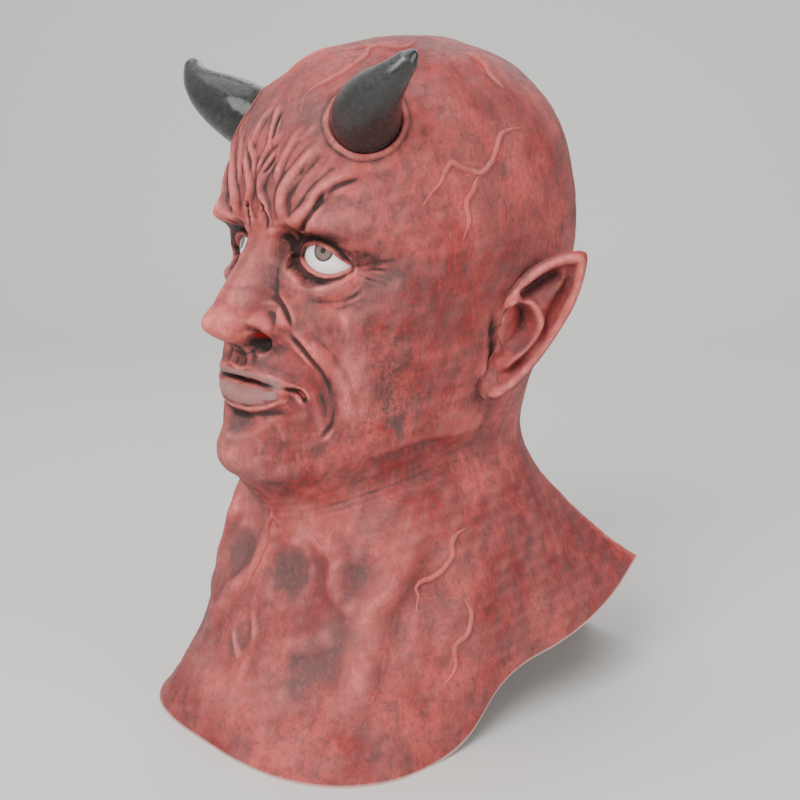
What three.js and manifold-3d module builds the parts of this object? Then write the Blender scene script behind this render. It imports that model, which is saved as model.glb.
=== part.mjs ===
// A full-head devil mask of thick latex, standing on the rim of its bib.
//
// The skin is one hollow body: a bald skull, a scowling face with a long hooked nose, pointed ears,
// a thick neck and a bib that spreads over the chest, the shoulders and the back. Two black horns
// sit in collars on the forehead, and two glossy eyes stand behind the lids.
//
// All sizes are millimetres. The shapes are written in the head's own frame: X to the mask's own
// left, -Y out of the face, +Z up, and Z = 0 at the underside of the chin. The group at the end
// lifts that frame so that the rim stands on Z = 0.

import * as THREE from 'three';
import { mergeVertices } from 'three/addons/utils/BufferGeometryUtils.js';
import Module from 'manifold-3d';

const wasm = await Module();
wasm.setup();

// Driving sizes
const CHIN_HEIGHT = 133;
const DEPTH_SHIFT = -1.65;
const WALL = 4;
const GAP = 0.3;

// Heights of the head, each a closed ring that leans with the jaw. A ring has a front point (y, z)
// and a back point (y, z) on the middle plane, a side point (x, y, z), and the squareness of its
// front and back halves, where 2 is an ellipse.
const SECTIONS = [
  { front: [12, 253], side: [0, 12, 253], back: [12, 253], square: [2, 2] },
  { front: [-13, 251], side: [25, 12, 250.5], back: [36, 250], square: [2, 2] },
  { front: [-44, 243], side: [51, 12, 239], back: [68, 240], square: [2, 2] },
  { front: [-71, 227], side: [71, 12, 220], back: [94, 218], square: [2.05, 2] },
  { front: [-89, 206], side: [82, 12, 196], back: [111, 190], square: [2.15, 2] },
  { front: [-97, 184], side: [87, 11, 169], back: [118, 159], square: [2.2, 2] },
  { front: [-99, 163], side: [88, 10, 148], back: [118, 134], square: [2.3, 2.05] },
  { front: [-97, 144], side: [86, 8, 129], back: [113, 113], square: [2.35, 2.1] },
  { front: [-100, 124], side: [83, 5, 110], back: [105, 95], square: [2.25, 2.1] },
  { front: [-105, 104], side: [80, 2, 92], back: [97, 79], square: [2.1, 2.1] },
  { front: [-109, 86], side: [78, -2, 75], back: [91, 66], square: [2, 2.1] },
  { front: [-109, 68], side: [75, -6, 63], back: [87, 54], square: [1.95, 2.1] },
  { front: [-113, 50], side: [72, -10, 52], back: [85, 43], square: [1.95, 2.1] },
  { front: [-114, 32], side: [70, -13, 43], back: [84, 33], square: [2, 2.1] },
  { front: [-111, 13], side: [68, -13, 36], back: [83, 25], square: [2.12, 2.12] },
  { front: [-101, 1], side: [64, -12, 28], back: [83, 17], square: [2.05, 2.2] },
  { front: [-94, -6], side: [66, -10, 18], back: [84, 9], square: [2.15, 2.3] },
];
const NECK = SECTIONS.length - 1;

// The cut edge of the bib on the mask's left, from the breast to the middle of the back: the angle
// of its column, its place, how far the skin first runs out and down from the neck, and how far it
// comes in and from above at the edge. A lobe rests on the ground in front and a narrow one behind,
// both a little too long, so that the floor cut leaves them flat. The edge is notched under each
// shoulder and has a sharp corner behind it.
const CORNER = 135;
const RIM = [
  { angle: 0, at: [0, -147, -136], leave: [0, 42], arrive: [16, 36] },
  { angle: 14, at: [36, -146, -136], leave: [2, 38], arrive: [18, 36] },
  { angle: 28, at: [68, -139, -136], leave: [8, 28], arrive: [28, 36] },
  { angle: 42, at: [93, -122, -136], leave: [24, 12], arrive: [38, 34] },
  { angle: 56, at: [107, -96, -136], leave: [30, 9], arrive: [36, 36] },
  { angle: 68, at: [108, -66, -136], leave: [30, 12], arrive: [18, 40] },
  { angle: 79, at: [105, -38, -127], leave: [27, 16], arrive: [2, 44] },
  { angle: 90, at: [100, -10, -109], leave: [21, 22], arrive: [-6, 42] },
  { angle: 98, at: [101, 10, -99], leave: [20, 24], arrive: [-6, 36] },
  { angle: 108, at: [104, 36, -93], leave: [19, 25], arrive: [0, 32] },
  { angle: 118, at: [104, 62, -86], leave: [17, 26], arrive: [12, 26] },
  { angle: 127, at: [99, 92, -77], leave: [17, 26], arrive: [22, 22] },
  { angle: CORNER, at: [88, 127, -65], leave: [16, 26], arrive: [32, 20] },
  { angle: 144, at: [74, 132, -80], leave: [14, 28], arrive: [26, 24] },
  { angle: 153, at: [58, 138, -99], leave: [10, 30], arrive: [20, 32] },
  { angle: 162, at: [40, 144, -120], leave: [8, 32], arrive: [16, 40] },
  { angle: 170, at: [22, 149, -136], leave: [6, 34], arrive: [14, 46] },
  { angle: 180, at: [0, 150, -136], leave: [6, 34], arrive: [14, 46] },
];
const FAR_SIDE_NARROWING = 0.15;
const NECK_AXIS_Y = -10;

// Soft forms that raise or hollow the skin: centre, half sizes and height. They repeat on the
// other side of the face, and the wall follows those marked broad inside as well.
const FORMS = [
  { name: 'eye socket', at: [34, -90, 139], size: [25, 40, 19], height: -10, broad: true },
  { name: 'inner eye hollow', at: [21, -95, 143], size: [12, 30, 13], height: -7, broad: true },
  { name: 'cheekbone', at: [66, -62, 112], size: [26, 30, 20], height: 4, broad: true },
  { name: 'cheek hollow', at: [66, -58, 68], size: [22, 30, 26], height: -4, broad: true },
  { name: 'temple', at: [83, -42, 165], size: [20, 30, 28], height: -3, broad: true },
  { name: 'smile pouch', at: [51, -80, 66], size: [13, 22, 30], height: 5 },
  { name: 'muzzle', at: [20, -107, 75], size: [24, 30, 16], height: 3.2, broad: true },
  { name: 'chin', at: [0, -113, 30], size: [32, 32, 26], height: 8, broad: true },
  { name: 'chin side', at: [24, -108, 22], size: [20, 30, 18], height: 4 },
  { name: 'groove under the lip', at: [0, -114, 49], size: [20, 26, 8], height: -3.5, broad: true },
  { name: 'upper eyelid fold', at: [50, -82, 156], size: [19, 22, 13], height: 4.5 },
  { name: 'brow overhang', at: [38, -92, 155], size: [17, 24, 13], height: 6 },
  { name: 'tear bag', at: [42, -86, 121], size: [17, 20, 8], height: 3 },
  { name: 'ear root', at: [79, 12, 84], size: [16, 24, 36], height: 2 },
  { name: 'jaw corner', at: [69, -14, 40], size: [22, 26, 17], height: 4, broad: true },
  { name: 'throat pit', at: [0, -106, -55], size: [16, 26, 20], height: -5, broad: true },
  { name: 'collar hollow', at: [40, -103, -52], size: [26, 26, 22], height: -6, broad: true },
  { name: 'shoulder hollow', at: [86, -52, -40], size: [24, 26, 22], height: -4, broad: true },
];

// Where creases cut deep, only the inside of the wall gives way as well.
const INSIDE_ROOM = [
  { name: 'behind the mouth', at: [18, -104, 66], size: [28, 34, 15], height: -3 },
  { name: 'behind the mouth corner', at: [33, -94, 60], size: [15, 30, 18], height: -3 },
  { name: 'behind the eye corner', at: [20, -88, 136], size: [15, 34, 20], height: -4 },
  { name: 'behind the nostril', at: [11, -107, 88], size: [14, 26, 13], height: -2.5 },
  { name: 'behind the nose wing', at: [19, -98, 106], size: [17, 26, 14], height: -2 },
  { name: 'behind the brow', at: [50, -80, 173], size: [18, 30, 14], height: -2 },
];

// Raised folds (positive height) and creases (negative height) along paths on the skin. Each also
// repeats on the other side of the face.
const FOLDS = [
  { name: 'brow', path: [[20, -96, 151], [30, -95, 156], [39, -91, 166], [50, -81, 180], [64, -65, 185]],
    width: 8, height: 6 },
  { name: 'second brow fold', path: [[30, -95, 163], [40, -88, 178], [50, -78, 192]],
    width: 5, height: 3.5 },
  { name: 'third brow fold', path: [[20, -97, 155], [22, -97, 165], [28, -93, 182], [39, -83, 197]],
    width: 5.5, height: 4 },
  { name: 'fourth brow fold', path: [[16, -98, 160], [17, -98, 173], [21, -94, 189], [32, -82, 205]],
    width: 5, height: 3.5 },
  { name: 'inner brow fold', path: [[9, -98, 160], [11, -98, 177], [10, -93, 196], [4, -86, 211]],
    width: 5, height: 3 },
  { name: 'crease over the eye', width: 5, height: -4.5,
    path: [[20, -96, 148], [33, -93, 152], [41, -90, 167], [52, -81, 175], [60, -70, 180]] },
  { name: 'crease in the brow', path: [[25, -96, 162], [31, -92, 176], [44, -82, 192]],
    width: 4, height: -2.5 },
  { name: 'crease in the forehead', path: [[16, -98, 155], [14, -97, 178], [20, -90, 200]],
    width: 4, height: -2.5 },
  { name: 'middle crease', path: [[0, -98, 150], [0, -99, 172], [0, -94, 192]], width: 4, height: -2.5 },
  { name: 'cheek fold', path: [[33, -99, 99], [43, -94, 87], [54, -85, 71], [56, -82, 54], [48, -88, 40]],
    width: 10, height: 4.5 },
  { name: 'cheek crease', path: [[28, -98, 97], [40, -96, 86], [49, -90, 72], [51, -88, 55], [42, -93, 39]],
    width: 8, height: -3.5 },
  { name: 'upper lip', path: [[0, -109, 74.5], [14, -107, 74], [26, -103, 70], [35, -98, 65]],
    width: 8, height: 2.5 },
  { name: 'lower lip', path: [[0, -110, 60], [14, -108, 60.5], [26, -103, 61], [33, -99, 60]],
    width: 9.5, height: 5.5 },
  { name: 'mouth line', path: [[0, -109, 69], [13, -107, 69], [28, -103, 68], [36, -97, 64], [37, -94, 58]],
    width: 6, height: -5 },
  { name: 'mouth corner', path: [[36, -96, 58], [39, -94, 51], [38, -94, 43]], width: 7, height: -2.5 },
  { name: 'groove of the upper lip', path: [[0, -109, 86], [0, -109, 79]], width: 7, height: -2 },
  { name: 'eye bag edge', path: [[30, -93, 124], [42, -90, 115], [54, -82, 116], [62, -72, 127]],
    width: 5.5, height: -2.5 },
  { name: 'neck tendon', path: [[72, -20, 8], [58, -70, -12], [40, -98, -45], [22, -112, -78]],
    width: 16, height: 6 },
  { name: 'breast tendon', path: [[80, -66, -20], [78, -88, -60], [80, -104, -100], [88, -112, -122]],
    width: 14, height: 5 },
  { name: 'throat cord', path: [[14, -104, -30], [12, -112, -60], [12, -124, -92]], width: 7, height: 4 },
  { name: 'collar bone', path: [[12, -122, -80], [44, -112, -76], [74, -88, -66]], width: 12, height: 4 },
];

// The nose stands out of the face by this much at each height, on a foot of this half width.
const NOSE = [
  { z: 156, out: 0, half: 12 },
  { z: 147, out: 2, half: 13 },
  { z: 135, out: 9, half: 16 },
  { z: 120, out: 17.5, half: 19 },
  { z: 110, out: 21.5, half: 22 },
  { z: 103, out: 21.5, half: 23 },
  { z: 97, out: 18.5, half: 23 },
  { z: 92, out: 13, half: 22 },
  { z: 88, out: 4, half: 20 },
  { z: 84, out: 0, half: 18 },
];
const NOSE_INSIDE = 0.6;
const NOSE_TIP = { at: [0, -128, 101], size: [15, 20, 13.5], height: 7.5 };
const NOSE_WING = { at: [20, -108, 102], size: [9, 17, 10], height: 5 };
const WING_CREASE = {
  path: [[10, -112, 114], [20, -104, 112], [27, -98, 105], [29, -97, 97]],
  width: 6,
  height: -3.5,
};
const NOSTRIL = { at: [13, -112, 90], size: [8, 13, 7], height: -7 };

// The eyes: domes of a ball, turned out to each side, behind an almond opening in the lids
const EYE = {
  centre: [30.3, -65.2, 136],
  radius: 20,
  turn: 24,
  half: 66,
  lid: 2.3,
  blend: 4,
  behind: 5,
  room: 9,
};
// Inside this oval the skin is pressed on the ball; between inner and outer radii it lets go
const LID_PATCH = { middle: [36, 136.3], half: [14.5, 8], inner: 1.15, outer: 1.75 };
const LIDS = [[21, 136], [29.5, 143.8], [42.5, 143.6], [50, 133], [41, 128.2], [29, 130.4]];

// The horns: a bent cone from the forehead, out and then up
const HORN = {
  path: [[49, -63, 205.5], [64, -76, 218], [87, -82, 223], [98, -72, 240.5]],
  radii: [18.5, 17.6, 15.9, 14, 12, 9.9, 7.7, 5.2],
  sides: 14,
};
const COLLAR = { radius: 21.5, width: 6, height: 3.5 };

// The ears: an outline (back, up) in a plane that leaves the head at a slant
const EAR = {
  origin: [80, 2, 95],
  slant: 28.7,
  middle: [19, 2],
  outline: [[50.6, 41], [35, 39.5], [19, 31.5], [6, 17], [1.6, 2], [1, -12], [-6, -23], [-8.7, -34],
    [-2, -40.5], [12.4, -33.2], [29.6, -14.9], [46.5, 12.5], [52.8, 33]],
  columns: 21,
  front: [[0, -8], [0.28, -8], [0.46, -5], [0.6, 3], [0.76, -2.5], [0.88, 4.5], [0.96, 4]],
  rim: [1, 1],
  back: [[0.93, -3], [0.7, -7.5], [0.4, -13], [0, -16]],
};

// How fine the skin is: columns crowd to the face, and rows crowd between the brow and the chin
const SKIN = { columns: 56, crowding: 0.67 };
const LINING = { columns: 24, crowding: 0.35 };
const SKIN_ROWS = [
  ...steps(0.4, 4.6, 6),
  ...steps(4.9, 8.3, 11),
  ...steps(8.55, 12, 15),
  ...steps(12.35, 14.6, 5),
  15, 15.5, NECK,
  ...steps(NECK + 0.12, NECK + 1, 7),
];
const LINING_ROWS = [...steps(0.8, 14.5, 13), 15.2, NECK, ...steps(NECK + 0.2, NECK + 1, 5)];

function steps(first, last, count) {
  return Array.from({ length: count }, (_, i) => first + ((last - first) * i) / (count - 1));
}

const clamp01 = (value) => Math.min(1, Math.max(0, value));
const smooth = (value) => clamp01(value) ** 2 * (3 - 2 * clamp01(value));
const vec = (list) => new THREE.Vector3(...list);
const mirrored = (p, side) => [side * p[0], p[1], p[2]];

// A smooth curve through rows of numbers, at a fractional row
function between(keys, t) {
  const last = keys.length - 1;
  const place = Math.min(Math.max(t, 0), last);
  const i = Math.min(Math.floor(place), last - 1);
  const f = place - i;
  return keys[i].map((start, k) => {
    const end = keys[i + 1][k];
    const before = i > 0 ? keys[i - 1][k] : 2 * start - end;
    const after = i < last - 1 ? keys[i + 2][k] : 2 * end - start;
    const cubic = 3 * (start - end) + after - before;
    return start + 0.5 * f * (end - before + f * (2 * before - 5 * start + 4 * end - after + f * cubic));
  });
}

const SECTION_KEYS = SECTIONS.map((s) => [...s.front, ...s.side, ...s.back, ...s.square]);

// A point of the head at row t and angle u around it, with u = 0 in front and 90 degrees at the left
function headPoint(t, u) {
  const [fy, fz, sx, sy, sz, by, bz, squareFront, squareBack] = between(SECTION_KEYS, t);
  const forward = Math.cos(u) >= 0;
  const power = 2 / (forward ? squareFront : squareBack);
  const across = Math.sign(Math.sin(u)) * Math.abs(Math.sin(u)) ** power;
  const along = Math.abs(Math.cos(u)) ** power;
  const [ey, ez] = forward ? [fy, fz] : [by, bz];
  return vec([sx * across, sy + (ey - sy) * along, sz + (ez - sz) * along ** 1.6]);
}

const RIM_KEYS = RIM.map((r) => [...r.at, ...r.leave, ...r.arrive]);
const CORNER_INDEX = RIM.findIndex((r) => r.angle === CORNER);

// The cut edge at angle u: its place and its two pairs of handles
function rimAt(u) {
  const degrees = THREE.MathUtils.radToDeg(Math.atan2(Math.sin(u), Math.cos(u)));
  const angle = Math.abs(degrees);
  const front = angle <= CORNER;
  const [lo, hi] = front ? [0, CORNER_INDEX] : [CORNER_INDEX, RIM.length - 1];
  const keys = RIM_KEYS.slice(lo, hi + 1);
  const angles = RIM.slice(lo, hi + 1).map((r) => r.angle);
  if (front) {
    keys.unshift(keys[1].map((v, k) => (k === 0 ? -v : v)));
    angles.unshift(-angles[1]);
  } else {
    const beyond = keys[keys.length - 2];
    keys.push(beyond.map((v, k) => (k === 0 ? -v : v)));
    angles.push(360 - angles[angles.length - 2]);
  }
  const i = Math.max(angles.findLastIndex((a) => a <= angle), 0);
  const next = Math.min(i + 1, angles.length - 1);
  const part = next > i ? (angle - angles[i]) / (angles[next] - angles[i]) : 0;
  const row = between(keys, i + part);
  const narrow = degrees < 0 ? 1 - FAR_SIDE_NARROWING * clamp01((95 - angle) / 30) : 1;
  row[0] *= Math.sign(degrees || 1) * narrow;
  return row;
}

function outwards(p) {
  return new THREE.Vector3(p.x, p.y - NECK_AXIS_Y, 0).normalize();
}

// The smooth skin before any carving. Rows past the neck run over the bib to its cut edge.
function basePoint(t, u) {
  if (t <= NECK) return headPoint(t, u);
  const w = Math.min(t - NECK, 1);
  const [x, y, z, leaveOut, leaveDown, arriveIn, arriveUp] = rimAt(u);
  const start = headPoint(NECK, u);
  const end = new THREE.Vector3(x, y, z);
  const first = start.clone().addScaledVector(outwards(start), leaveOut);
  first.z -= leaveDown;
  const second = end.clone().addScaledVector(outwards(end), -arriveIn);
  second.z += arriveUp;
  return new THREE.CubicBezierCurve3(start, first, second, end).getPoint(w);
}

function baseNormal(t, u) {
  const dt = 0.04;
  const du = 0.03;
  const t0 = Math.max(t - dt, 0.02);
  const t1 = Math.min(t + dt, NECK + 1);
  const down = basePoint(t1, u).sub(basePoint(t0, u));
  const round = basePoint(t, u + du).sub(basePoint(t, u - du));
  return down.cross(round).normalize();
}

// Falls smoothly from 1 at distance 0 to 0 at distance 1
function dome(distance) {
  return distance < 1 ? (1 - distance * distance) ** 2 : 0;
}

function formAt(form, p) {
  const d = Math.hypot(...['x', 'y', 'z'].map((k, i) => (p[k] - form.at[i]) / form.size[i]));
  return form.height * dome(d);
}

const foldPaths = new Map();

function foldPath(fold) {
  if (!foldPaths.has(fold)) {
    const curve = new THREE.CatmullRomCurve3(fold.path.map(vec), false, 'centripetal');
    foldPaths.set(fold, curve.getPoints(4 * (fold.path.length - 1)));
  }
  return foldPaths.get(fold);
}

function foldAt(fold, p) {
  const path = foldPath(fold);
  const segment = new THREE.Line3();
  const foot = new THREE.Vector3();
  let best = Infinity;
  let place = 0;
  for (let i = 0; i < path.length - 1; i += 1) {
    segment.set(path[i], path[i + 1]);
    const f = segment.closestPointToPointParameter(p, true);
    const d = segment.at(f, foot).distanceTo(p);
    if (d < best) {
      best = d;
      place = (i + f) / (path.length - 1);
    }
  }
  const ends = smooth(place / 0.16 + 0.25) * smooth((1 - place) / 0.16 + 0.25);
  return fold.height * ends * dome(best / fold.width);
}

// How far the nose stands out at a place of the face
function noseOut(x, z) {
  const rows = NOSE.map((row) => [row.out, row.half]);
  const i = NOSE.findIndex((row) => row.z <= z);
  if (i <= 0) return 0;
  const part = (NOSE[i - 1].z - z) / (NOSE[i - 1].z - NOSE[i].z);
  const [out, half] = between(rows, i - 1 + part);
  const round = 0.4;
  const slope = (Math.hypot(x / half, round) - round) / (Math.hypot(1, round) - round);
  return Math.max(out, 0) * smooth(1.02 - slope) ** 0.8;
}

// The ring of skin that stands up round a horn
const hornBase = vec(HORN.path[0]);
const hornAxis = vec(HORN.path[1]).sub(hornBase).normalize();

function collarAt(p) {
  const offset = p.clone().sub(hornBase);
  const along = offset.dot(hornAxis);
  const away = offset.addScaledVector(hornAxis, -along).length();
  return Math.abs(along) < 25 ? COLLAR.height * dome(Math.abs(away - COLLAR.radius) / COLLAR.width) : 0;
}

// Turns a point near an eye out over the eyeball, so that the lids lie on it
const eyeTurn = THREE.MathUtils.degToRad(EYE.turn);
const eyeAxis = vec([Math.sin(eyeTurn), -Math.cos(eyeTurn), 0]);

function overEye(p) {
  const side = Math.sign(p.x) || 1;
  const own = new THREE.Vector3(Math.abs(p.x), p.y, p.z);
  const offset = own.clone().sub(vec(EYE.centre));
  const along = offset.dot(eyeAxis);
  const away = Math.sqrt(Math.max(offset.lengthSq() - along * along, 0));
  const reach = EYE.radius + EYE.lid;
  if (away > reach || along < -5) return p;
  const lid = Math.sqrt(reach * reach - away * away);
  const meeting = Math.max(EYE.blend - Math.abs(lid - along), 0) / EYE.blend;
  const over = Math.max(lid, along) + (meeting * meeting * EYE.blend) / 4;
  const { middle, half, inner, outer } = LID_PATCH;
  const spread = Math.hypot((own.x - middle[0]) / half[0], (own.z - middle[1]) / half[1]);
  const tight = smooth((outer - spread) / (outer - inner));
  own.addScaledVector(eyeAxis, over + (lid - over) * tight - along);
  return own.setX(own.x * side);
}

// The carved skin: the smooth base, then soft forms, folds and creases, the nose and the lids
function skinPoint(t, u) {
  const base = basePoint(t, u);
  const near = new THREE.Vector3(Math.abs(base.x), base.y, base.z);
  const lift = [...FORMS, NOSTRIL].reduce((sum, form) => sum + formAt(form, near), 0)
    + [...FOLDS, WING_CREASE].reduce((sum, fold) => sum + foldAt(fold, near), 0)
    + collarAt(near);
  const face = smooth((-70 - base.y) / 12);
  const point = base.clone().addScaledVector(baseNormal(t, u), lift);
  point.y -= face * noseOut(base.x, base.z);
  const tip = new THREE.Vector3(Math.abs(point.x), point.y, point.z);
  point.y -= face * (formAt(NOSE_TIP, tip) + formAt(NOSE_WING, tip));
  return overEye(point);
}

// Moves a point of the lining back behind the eyeball
function behindEye(p) {
  const side = Math.sign(p.x) || 1;
  const own = new THREE.Vector3(Math.abs(p.x), p.y, p.z);
  const offset = own.clone().sub(vec(EYE.centre));
  const along = offset.dot(eyeAxis);
  const away = Math.sqrt(Math.max(offset.lengthSq() - along * along, 0));
  const near = smooth((EYE.radius + EYE.room - away) / EYE.room);
  own.addScaledVector(eyeAxis, -near * Math.max(along - EYE.behind, 0));
  return own.setX(own.x * side);
}

// The inside of the wall follows the base and the broad forms only, and stays behind the eyes
function liningPoint(t, u) {
  const base = basePoint(t, u);
  const near = new THREE.Vector3(Math.abs(base.x), base.y, base.z);
  const broad = [...FORMS.filter((form) => form.broad), ...INSIDE_ROOM]
    .reduce((sum, form) => sum + formAt(form, near), 0);
  const point = base.clone().addScaledVector(baseNormal(t, u), broad - WALL);
  point.y -= NOSE_INSIDE * smooth((-70 - base.y) / 12) * noseOut(base.x, base.z);
  return behindEye(point);
}

// Angles round the head that crowd to the face, with one column exactly on each bib corner
function columnAngles({ columns, crowding }) {
  const angles = Array.from({ length: columns }, (_, j) => {
    const even = (2 * Math.PI * j) / columns;
    return even - crowding * Math.sin(even);
  });
  for (const corner of [CORNER, 360 - CORNER].map(THREE.MathUtils.degToRad)) {
    const gaps = angles.map((a) => Math.abs(a - corner));
    const nearest = gaps.indexOf(Math.min(...gaps));
    angles[nearest] = corner;
  }
  return angles;
}

// Triangles gathered vertex by vertex
class Surface {
  constructor() {
    this.points = [];
    this.faces = [];
  }

  add(point) {
    this.points.push(point);
    return this.points.length - 1;
  }

  ring(points) {
    return points.map((p) => this.add(p));
  }

  triangle(a, b, c) {
    this.faces.push(a, b, c);
  }

  // A band between two rings of the same count, split along the shorter diagonals
  band(upper, lower) {
    upper.forEach((a, j) => {
      const k = (j + 1) % upper.length;
      const [b, c, d] = [lower[j], lower[k], upper[k]];
      const across = this.points[a].distanceTo(this.points[c]) < this.points[b].distanceTo(this.points[d]);
      if (across) {
        this.triangle(a, b, c);
        this.triangle(a, c, d);
      } else {
        this.triangle(a, b, d);
        this.triangle(b, c, d);
      }
    });
  }

  // A band between two rings of different counts, each with its own rising angles
  joinUneven(upper, upperAngles, lower, lowerAngles) {
    const turn = 2 * Math.PI;
    const angle = (list, i) => list[i % list.length] + turn * Math.floor(i / list.length);
    let i = 0;
    let j = 0;
    while (i < upper.length || j < lower.length) {
      const takeUpper = i < upper.length
        && (j >= lower.length || angle(upperAngles, i + 1) <= angle(lowerAngles, j + 1));
      const [a, b] = [upper[i % upper.length], lower[j % lower.length]];
      if (takeUpper) {
        this.triangle(a, b, upper[(i + 1) % upper.length]);
        i += 1;
      } else {
        this.triangle(a, b, lower[(j + 1) % lower.length]);
        j += 1;
      }
    }
  }

  fan(tip, ring) {
    ring.forEach((a, j) => this.triangle(tip, a, ring[(j + 1) % ring.length]));
  }

  geometry() {
    const geometry = new THREE.BufferGeometry();
    const numbers = this.points.flatMap((p) => [p.x, p.y, p.z]);
    geometry.setAttribute('position', new THREE.Float32BufferAttribute(numbers, 3));
    geometry.setIndex(this.faces);
    return geometry;
  }
}

function toSolid(geometry) {
  const bare = geometry.clone();
  bare.deleteAttribute('normal');
  bare.deleteAttribute('uv');
  const merged = mergeVertices(bare, 1e-4);
  return new wasm.Manifold(new wasm.Mesh({
    numProp: 3,
    vertProperties: new Float32Array(merged.attributes.position.array),
    triVerts: new Uint32Array(merged.index.array),
  }));
}

function toGeometry(solid) {
  const mesh = solid.getMesh();
  const geometry = new THREE.BufferGeometry();
  geometry.setAttribute('position', new THREE.BufferAttribute(new Float32Array(mesh.vertProperties), 3));
  geometry.setIndex(new THREE.BufferAttribute(new Uint32Array(mesh.triVerts), 1));
  return geometry;
}

// Mirrors a closed geometry to the mask's right and turns its faces out again
function mirrorGeometry(geometry) {
  const copy = geometry.clone();
  copy.scale(-1, 1, 1);
  const index = copy.index.array;
  for (let i = 0; i < index.length; i += 3) {
    [index[i], index[i + 1]] = [index[i + 1], index[i]];
  }
  return copy;
}

function shellGeometry() {
  const surface = new Surface();
  const outerAngles = columnAngles(SKIN);
  const innerAngles = columnAngles(LINING);
  const crown = surface.add(skinPoint(0.001, 0));
  const outer = SKIN_ROWS.map((t) => surface.ring(outerAngles.map((u) => skinPoint(t, u))));
  surface.fan(crown, outer[0]);
  outer.slice(1).forEach((ring, i) => surface.band(outer[i], ring));

  const ceiling = surface.add(liningPoint(0.001, 0).setZ(basePoint(0, 0).z - WALL));
  const inner = LINING_ROWS.map((t) => surface.ring(innerAngles.map((u) => liningPoint(t, u))));
  const inside = new Surface();
  inside.points = surface.points;
  inside.fan(ceiling, inner[0]);
  inner.slice(1).forEach((ring, i) => inside.band(inner[i], ring));
  for (let i = 0; i < inside.faces.length; i += 3) {
    surface.triangle(inside.faces[i], inside.faces[i + 2], inside.faces[i + 1]);
  }
  surface.joinUneven(outer.at(-1), outerAngles, inner.at(-1), innerAngles);
  return surface.geometry();
}

function hornGeometry(spare) {
  const curve = new THREE.CubicBezierCurve3(...HORN.path.map(vec));
  const surface = new Surface();
  const count = HORN.radii.length;
  const rings = HORN.radii.map((radius, i) => {
    const f = i / count;
    const centre = curve.getPoint(f);
    const along = curve.getTangent(f);
    if (i === 0) centre.addScaledVector(along, -spare);
    const first = new THREE.Vector3(0, 1, 0).cross(along).normalize();
    const second = along.clone().cross(first);
    return surface.ring(Array.from({ length: HORN.sides }, (_, j) => {
      const turn = (2 * Math.PI * j) / HORN.sides;
      return centre.clone()
        .addScaledVector(first, (radius + spare) * Math.cos(turn))
        .addScaledVector(second, (radius + spare) * Math.sin(turn));
    }));
  });
  const base = surface.add(curve.getPoint(0).addScaledVector(curve.getTangent(0), -spare));
  const tip = surface.add(curve.getPoint(1).addScaledVector(curve.getTangent(1), spare));
  surface.fan(base, [...rings[0]].reverse());
  rings.slice(1).forEach((ring, i) => surface.band(ring, rings[i]));
  surface.fan(tip, rings.at(-1));
  return surface.geometry();
}

function eyeGeometry(spare) {
  const rings = 5;
  const half = THREE.MathUtils.degToRad(EYE.half);
  const radius = EYE.radius + spare;
  const profile = Array.from({ length: rings + 1 }, (_, i) => {
    const angle = half * (1 - i / rings);
    return new THREE.Vector2(radius * Math.sin(angle), radius * Math.cos(angle));
  });
  profile[rings].x = 0;
  const floor = EYE.radius * Math.cos(half) - spare;
  const points = [new THREE.Vector2(0, floor), new THREE.Vector2(profile[0].x, floor), ...profile];
  if (spare === 0) points.splice(1, 1);
  const geometry = new THREE.LatheGeometry(points, 18);
  geometry.rotateZ(Math.PI + THREE.MathUtils.degToRad(EYE.turn));
  geometry.translate(...EYE.centre);
  return geometry;
}

// The almond opening between the lids, cut straight in from the front
function lidOpening() {
  const shape = new THREE.Shape();
  const corner = 3;
  shape.moveTo(...LIDS[0]);
  shape.splineThru(LIDS.slice(1, corner + 1).map((p) => new THREE.Vector2(...p)));
  shape.splineThru([...LIDS.slice(corner + 1), LIDS[0]].map((p) => new THREE.Vector2(...p)));
  const depth = 60;
  const geometry = new THREE.ExtrudeGeometry(shape, { depth, bevelEnabled: false, curveSegments: 9 });
  geometry.rotateX(Math.PI / 2);
  geometry.translate(0, -55, 0);
  return geometry;
}

function earGeometry() {
  const slant = THREE.MathUtils.degToRad(EAR.slant);
  const backwards = new THREE.Vector3(Math.sin(slant), Math.cos(slant), 0);
  const away = new THREE.Vector3(Math.cos(slant), -Math.sin(slant), 0);
  const curve = new THREE.CatmullRomCurve3(
    EAR.outline.map(([p, q]) => new THREE.Vector3(p, q, 0)), true, 'centripetal');
  const outline = curve.getPoints(EAR.columns).slice(0, EAR.columns);
  const place = (p, r, height) => {
    const back = EAR.middle[0] + r * (p.x - EAR.middle[0]);
    const up = EAR.middle[1] + r * (p.y - EAR.middle[1]);
    const spot = vec(EAR.origin).addScaledVector(backwards, back).addScaledVector(away, height);
    return spot.setZ(EAR.origin[2] + up);
  };
  const surface = new Surface();
  const middle = new THREE.Vector3(EAR.middle[0], EAR.middle[1], 0);
  const front = surface.add(place(middle, 0, EAR.front[0][1]));
  const rings = [...EAR.front.slice(1), EAR.rim, ...EAR.back.slice(0, -1)]
    .map(([r, height]) => surface.ring(outline.map((p) => place(p, r, height))));
  const back = surface.add(place(middle, 0, EAR.back.at(-1)[1]));
  surface.fan(front, rings[0]);
  rings.slice(1).forEach((ring, i) => surface.band(rings[i], ring));
  surface.fan(back, [...rings.at(-1)].reverse());
  return surface.geometry();
}

function floorCutter() {
  const size = 600;
  return new THREE.BoxGeometry(size, size, size).translate(0, 0, -CHIN_HEIGHT - size / 2);
}

function bothSides(geometry) {
  return [geometry, mirrorGeometry(geometry)];
}

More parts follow.
